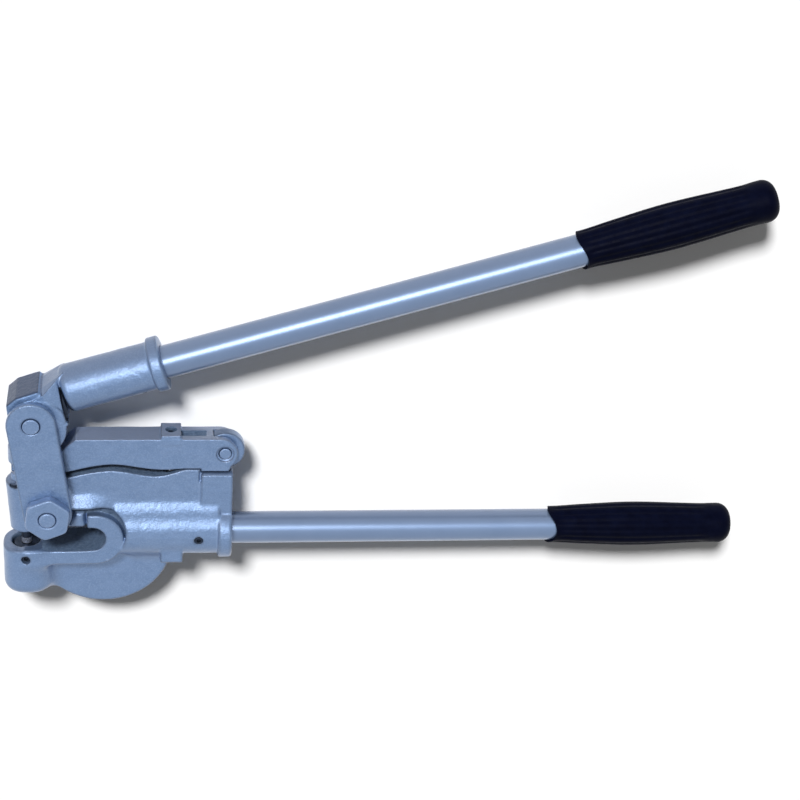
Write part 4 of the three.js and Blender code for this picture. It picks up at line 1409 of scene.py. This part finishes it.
def spring():
    rings = []
    count = SPRING_TURNS * SPRING_STEPS
    for step in range(count + 1):
        turn = 2 * math.pi * step / SPRING_STEPS
        height = SPRING_BOTTOM + (SPRING_TOP - SPRING_BOTTOM) * step / count
        ring = []
        for side in range(SPRING_SIDES):
            angle = 2 * math.pi * side / SPRING_SIDES
            radius = SPRING_RADIUS + SPRING_WIRE * math.cos(angle)
            rise = SPRING_WIRE * math.sin(angle)
            ring.append((SPRING_X + radius * math.cos(turn), height + rise, radius * math.sin(turn)))
        rings.append(ring[::-1])
    points, faces = ring_faces(rings)
    mesh = make_mesh("steel_spring", points, faces)
    add_piece("steel_spring", mesh, "spring", "frame", "return_spring", WOUND_CORNER)


set_screws()
stop_screw()
spring()


# Handle tubes and grips

TUBE_BORE = 9.9
TUBE_EDGE = 0.5
LOWER_TUBE_START = LOWER_TUBE_SEAT + FIT
UPPER_TUBE_START = UPPER_TUBE_SEAT + FIT
GRIP_LENGTH = extent("lower_grip").x
GRIP_CAP = 9.0
GRIP_BORE = 13.0
GRIP_BORE_DEPTH = 40.0
GRIP_FLUTES = 14
FLUTE_SIDES = 12
FLUTE_DEPTH = 0.55
GRIP_ROWS = 64
GRIP_ROUND = 9.6
GRIP_ROUND_ROWS = 11

# Radii, and how deep the flutes are, at shares of the grip's length
GRIP_SHARES = ((0.0, 14.9), (0.2, 16.4), (0.47, 17.95), (0.85, 16.2), (0.935, 16.4))
FLUTE_SHARES = ((0, 0), (0.06, 1), (0.8, 1), (0.88, 0), (1, 0))

# How far the mouth's coped sides draw back, and the turn of that cope about the grip
LOWER_COPE = 6.2
LOWER_COPE_TURN = 0.0
UPPER_COPE = 4.4
UPPER_COPE_TURN = math.radians(-16)
LOWER_REACH = place("lower_grip").x + GRIP_LENGTH / 2
UPPER_REACH = 584.2


def smooth_curve(knots, at):
    """A smooth height through (place, height) knots, flat at both ends."""
    places = [k[0] for k in knots]
    heights = [k[1] for k in knots]
    slopes = [0.0] * len(knots)
    for i in range(1, len(knots) - 1):
        slopes[i] = (heights[i + 1] - heights[i - 1]) / (places[i + 1] - places[i - 1])
    for i in range(len(knots) - 1):
        if at <= places[i + 1] or i == len(knots) - 2:
            width = places[i + 1] - places[i]
            t = min(max((at - places[i]) / width, 0), 1)
            return (
                heights[i] * (2 * t ** 3 - 3 * t ** 2 + 1) + slopes[i] * width * (t ** 3 - 2 * t ** 2 + t)
                + heights[i + 1] * (3 * t ** 2 - 2 * t ** 3) + slopes[i + 1] * width * (t ** 3 - t ** 2)
            )


def grip_rings(turn, cope):
    """A fluted grip along X with its mouth at 0: its bore, its outside and its round end."""
    sides = GRIP_FLUTES * FLUTE_SIDES
    angles = [2 * math.pi * side / sides for side in range(sides)]
    coped = [cope * math.cos(angle - turn) ** 2 for angle in angles]

    def circle(radius, places):
        return [(x, radius * math.sin(a), radius * math.cos(a)) for x, a in zip(places, angles)]

    rings = [circle(GRIP_BORE, [GRIP_BORE_DEPTH] * sides), circle(GRIP_BORE, coped)]
    for row in range(GRIP_ROWS):
        share = row / (GRIP_ROWS - 1)
        x = (GRIP_LENGTH - GRIP_ROUND) * share
        radius = smooth_curve(GRIP_SHARES, x / GRIP_LENGTH)
        depth = FLUTE_DEPTH * smooth_curve(FLUTE_SHARES, x / GRIP_LENGTH)
        ring = []
        for angle, back in zip(angles, coped):
            r = radius - depth * (0.5 - 0.5 * math.cos(GRIP_FLUTES * angle)) ** 2
            ring.append((x + back * (1 - share) ** 6, r * math.sin(angle), r * math.cos(angle)))
        rings.append(ring)
    for row in range(1, GRIP_ROUND_ROWS + 1):
        turned_by = math.pi / 2 * row / GRIP_ROUND_ROWS
        radius = GRIP_SHARES[-1][1] - GRIP_ROUND + GRIP_ROUND * math.cos(turned_by)
        x = GRIP_LENGTH - GRIP_ROUND + GRIP_ROUND * math.sin(turned_by)
        rings.append(circle(radius, [x] * sides))
    return rings


def grip(name, reach, axis, turn, cope, node, body, lay):
    points, faces = ring_faces(grip_rings(turn, cope))
    start = np.array((reach - GRIP_LENGTH, axis, 0))
    mesh = make_mesh(name, lay(points + start), faces)
    add_piece(name, mesh, "grip", body, node, WOUND_CORNER)


def handle_tube(name, start, reach, axis, node, body, lay):
    length = reach - GRIP_CAP - FIT - start
    profile = [(TUBE_BORE, 0), (TUBE_RADIUS, 0), (TUBE_RADIUS, length), (TUBE_BORE, length)]
    points, faces = lathe(softened(profile, TUBE_EDGE), 96)
    mesh = make_mesh(name, lay(turned(points, "x", (start, axis, 0))), faces)
    add_piece(name, mesh, "tube", body, node, TURNED_CORNER)


def handles():
    as_drawn = lambda points: points
    lower, upper = ("frame", as_drawn), ("handle", on_handle)
    handle_tube("tube_lower", LOWER_TUBE_START, LOWER_REACH, 0, "lower_handle_tube", *lower)
    handle_tube("tube_upper", UPPER_TUBE_START, UPPER_REACH, UPPER_AXIS, "upper_handle_tube", *upper)
    grip("grip_lower", LOWER_REACH, 0, LOWER_COPE_TURN, LOWER_COPE, "lower_grip", *lower)
    grip("grip_upper", UPPER_REACH, UPPER_AXIS, UPPER_COPE_TURN, UPPER_COPE, "upper_grip", *upper)


handles()


# Stage, light and camera

CAMERA_LENS = 81
CAMERA_SENSOR = 36
CAMERA_AZIMUTH = 106.74
CAMERA_ELEVATION = 60.14
CAMERA_ROLL = 165.41
CAMERA_DISTANCE = 1.404
CAMERA_TARGET = (289.1, 116.1, 0)
FLOOR_HALF = 6.0
FLOOR_DROP = 0.0006
FLOOR_COLOUR = (0.96, 0.96, 0.96, 1)
WHITE = (1, 1, 1, 1)
SKY_STRENGTH = 0.15


def aim(azimuth, elevation):
    a, e = math.radians(azimuth), math.radians(elevation)
    return Vector((math.cos(a) * math.cos(e), math.sin(a) * math.cos(e), math.sin(e)))


def add_camera():
    """The photograph's viewpoint, turned about its own line of sight."""
    data = bpy.data.cameras.new("camera")
    data.lens = CAMERA_LENS
    data.sensor_width = CAMERA_SENSOR
    camera = bpy.data.objects.new("camera", data)
    bpy.context.scene.collection.objects.link(camera)
    back = aim(CAMERA_AZIMUTH, CAMERA_ELEVATION)
    camera.location = ORIGIN + Vector(CAMERA_TARGET) * MM + back * CAMERA_DISTANCE
    right = Vector((0, 0, 1)).cross(back).normalized()
    up = back.cross(right)
    facing = Matrix((right, up, back)).transposed()
    roll = Matrix.Rotation(math.radians(CAMERA_ROLL), 3, "Z")
    camera.rotation_euler = (facing @ roll).to_euler()
    bpy.context.scene.camera = camera


def add_sun(name, direction, strength, spread):
    data = bpy.data.lights.new(name, "SUN")
    data.energy = strength
    data.angle = math.radians(spread)
    sun = bpy.data.objects.new(name, data)
    bpy.context.scene.collection.objects.link(sun)
    sun.rotation_euler = Vector(direction).to_track_quat("Z", "Y").to_euler()
    return sun


def add_lights():
    """One lamp that only lights and shades, and a wider one that only makes the highlights."""
    window = add_sun("window", (-0.24, 0.68, 0.72), 4.15, 11)
    window.visible_glossy = False
    softbox = add_sun("softbox", (-0.17, 0.42, 0.89), 1.5, 24)
    softbox.visible_diffuse = False


def add_floor():
    mesh = bpy.data.meshes.new("floor")
    corners = ((-1, -1), (1, -1), (1, 1), (-1, 1))
    mesh.from_pydata([(x * FLOOR_HALF, y * FLOOR_HALF, -FLOOR_DROP) for x, y in corners], [], [(0, 1, 2, 3)])
    floor = bpy.data.objects.new("floor", mesh)
    bpy.context.scene.collection.objects.link(floor)
    material, _, shader = new_material("floor", Roughness=0.9, Specular_IOR_Level=0.0)
    shader.inputs["Base Color"].default_value = FLOOR_COLOUR
    mesh.materials.append(material)


def add_world():
    """A dim sky for the shade, and plain white for what the camera and the gloss see."""
    world = bpy.data.worlds.new("world")
    world.use_nodes = True
    bpy.context.scene.world = world
    tree = world.node_tree
    sky = tree.nodes["Background"]
    white = tree.nodes.new("ShaderNodeBackground")
    for node, strength in ((sky, SKY_STRENGTH), (white, 1.0)):
        node.inputs["Color"].default_value = WHITE
        node.inputs["Strength"].default_value = strength
    path = tree.nodes.new("ShaderNodeLightPath")
    seen = path.outputs["Is Camera Ray"]
    for ray in ("Is Glossy Ray", "Is Transmission Ray"):
        either = tree.nodes.new("ShaderNodeMath")
        either.operation = "MAXIMUM"
        tree.links.new(seen, either.inputs[0])
        tree.links.new(path.outputs[ray], either.inputs[1])
        seen = either.outputs[0]
    chooser = tree.nodes.new("ShaderNodeMixShader")
    tree.links.new(seen, chooser.inputs[0])
    tree.links.new(sky.outputs[0], chooser.inputs[1])
    tree.links.new(white.outputs[0], chooser.inputs[2])
    tree.links.new(chooser.outputs[0], tree.nodes["World Output"].inputs["Surface"])


add_camera()
add_world()
add_floor()
add_lights()

bpy.context.scene.view_settings.view_transform = "Standard"
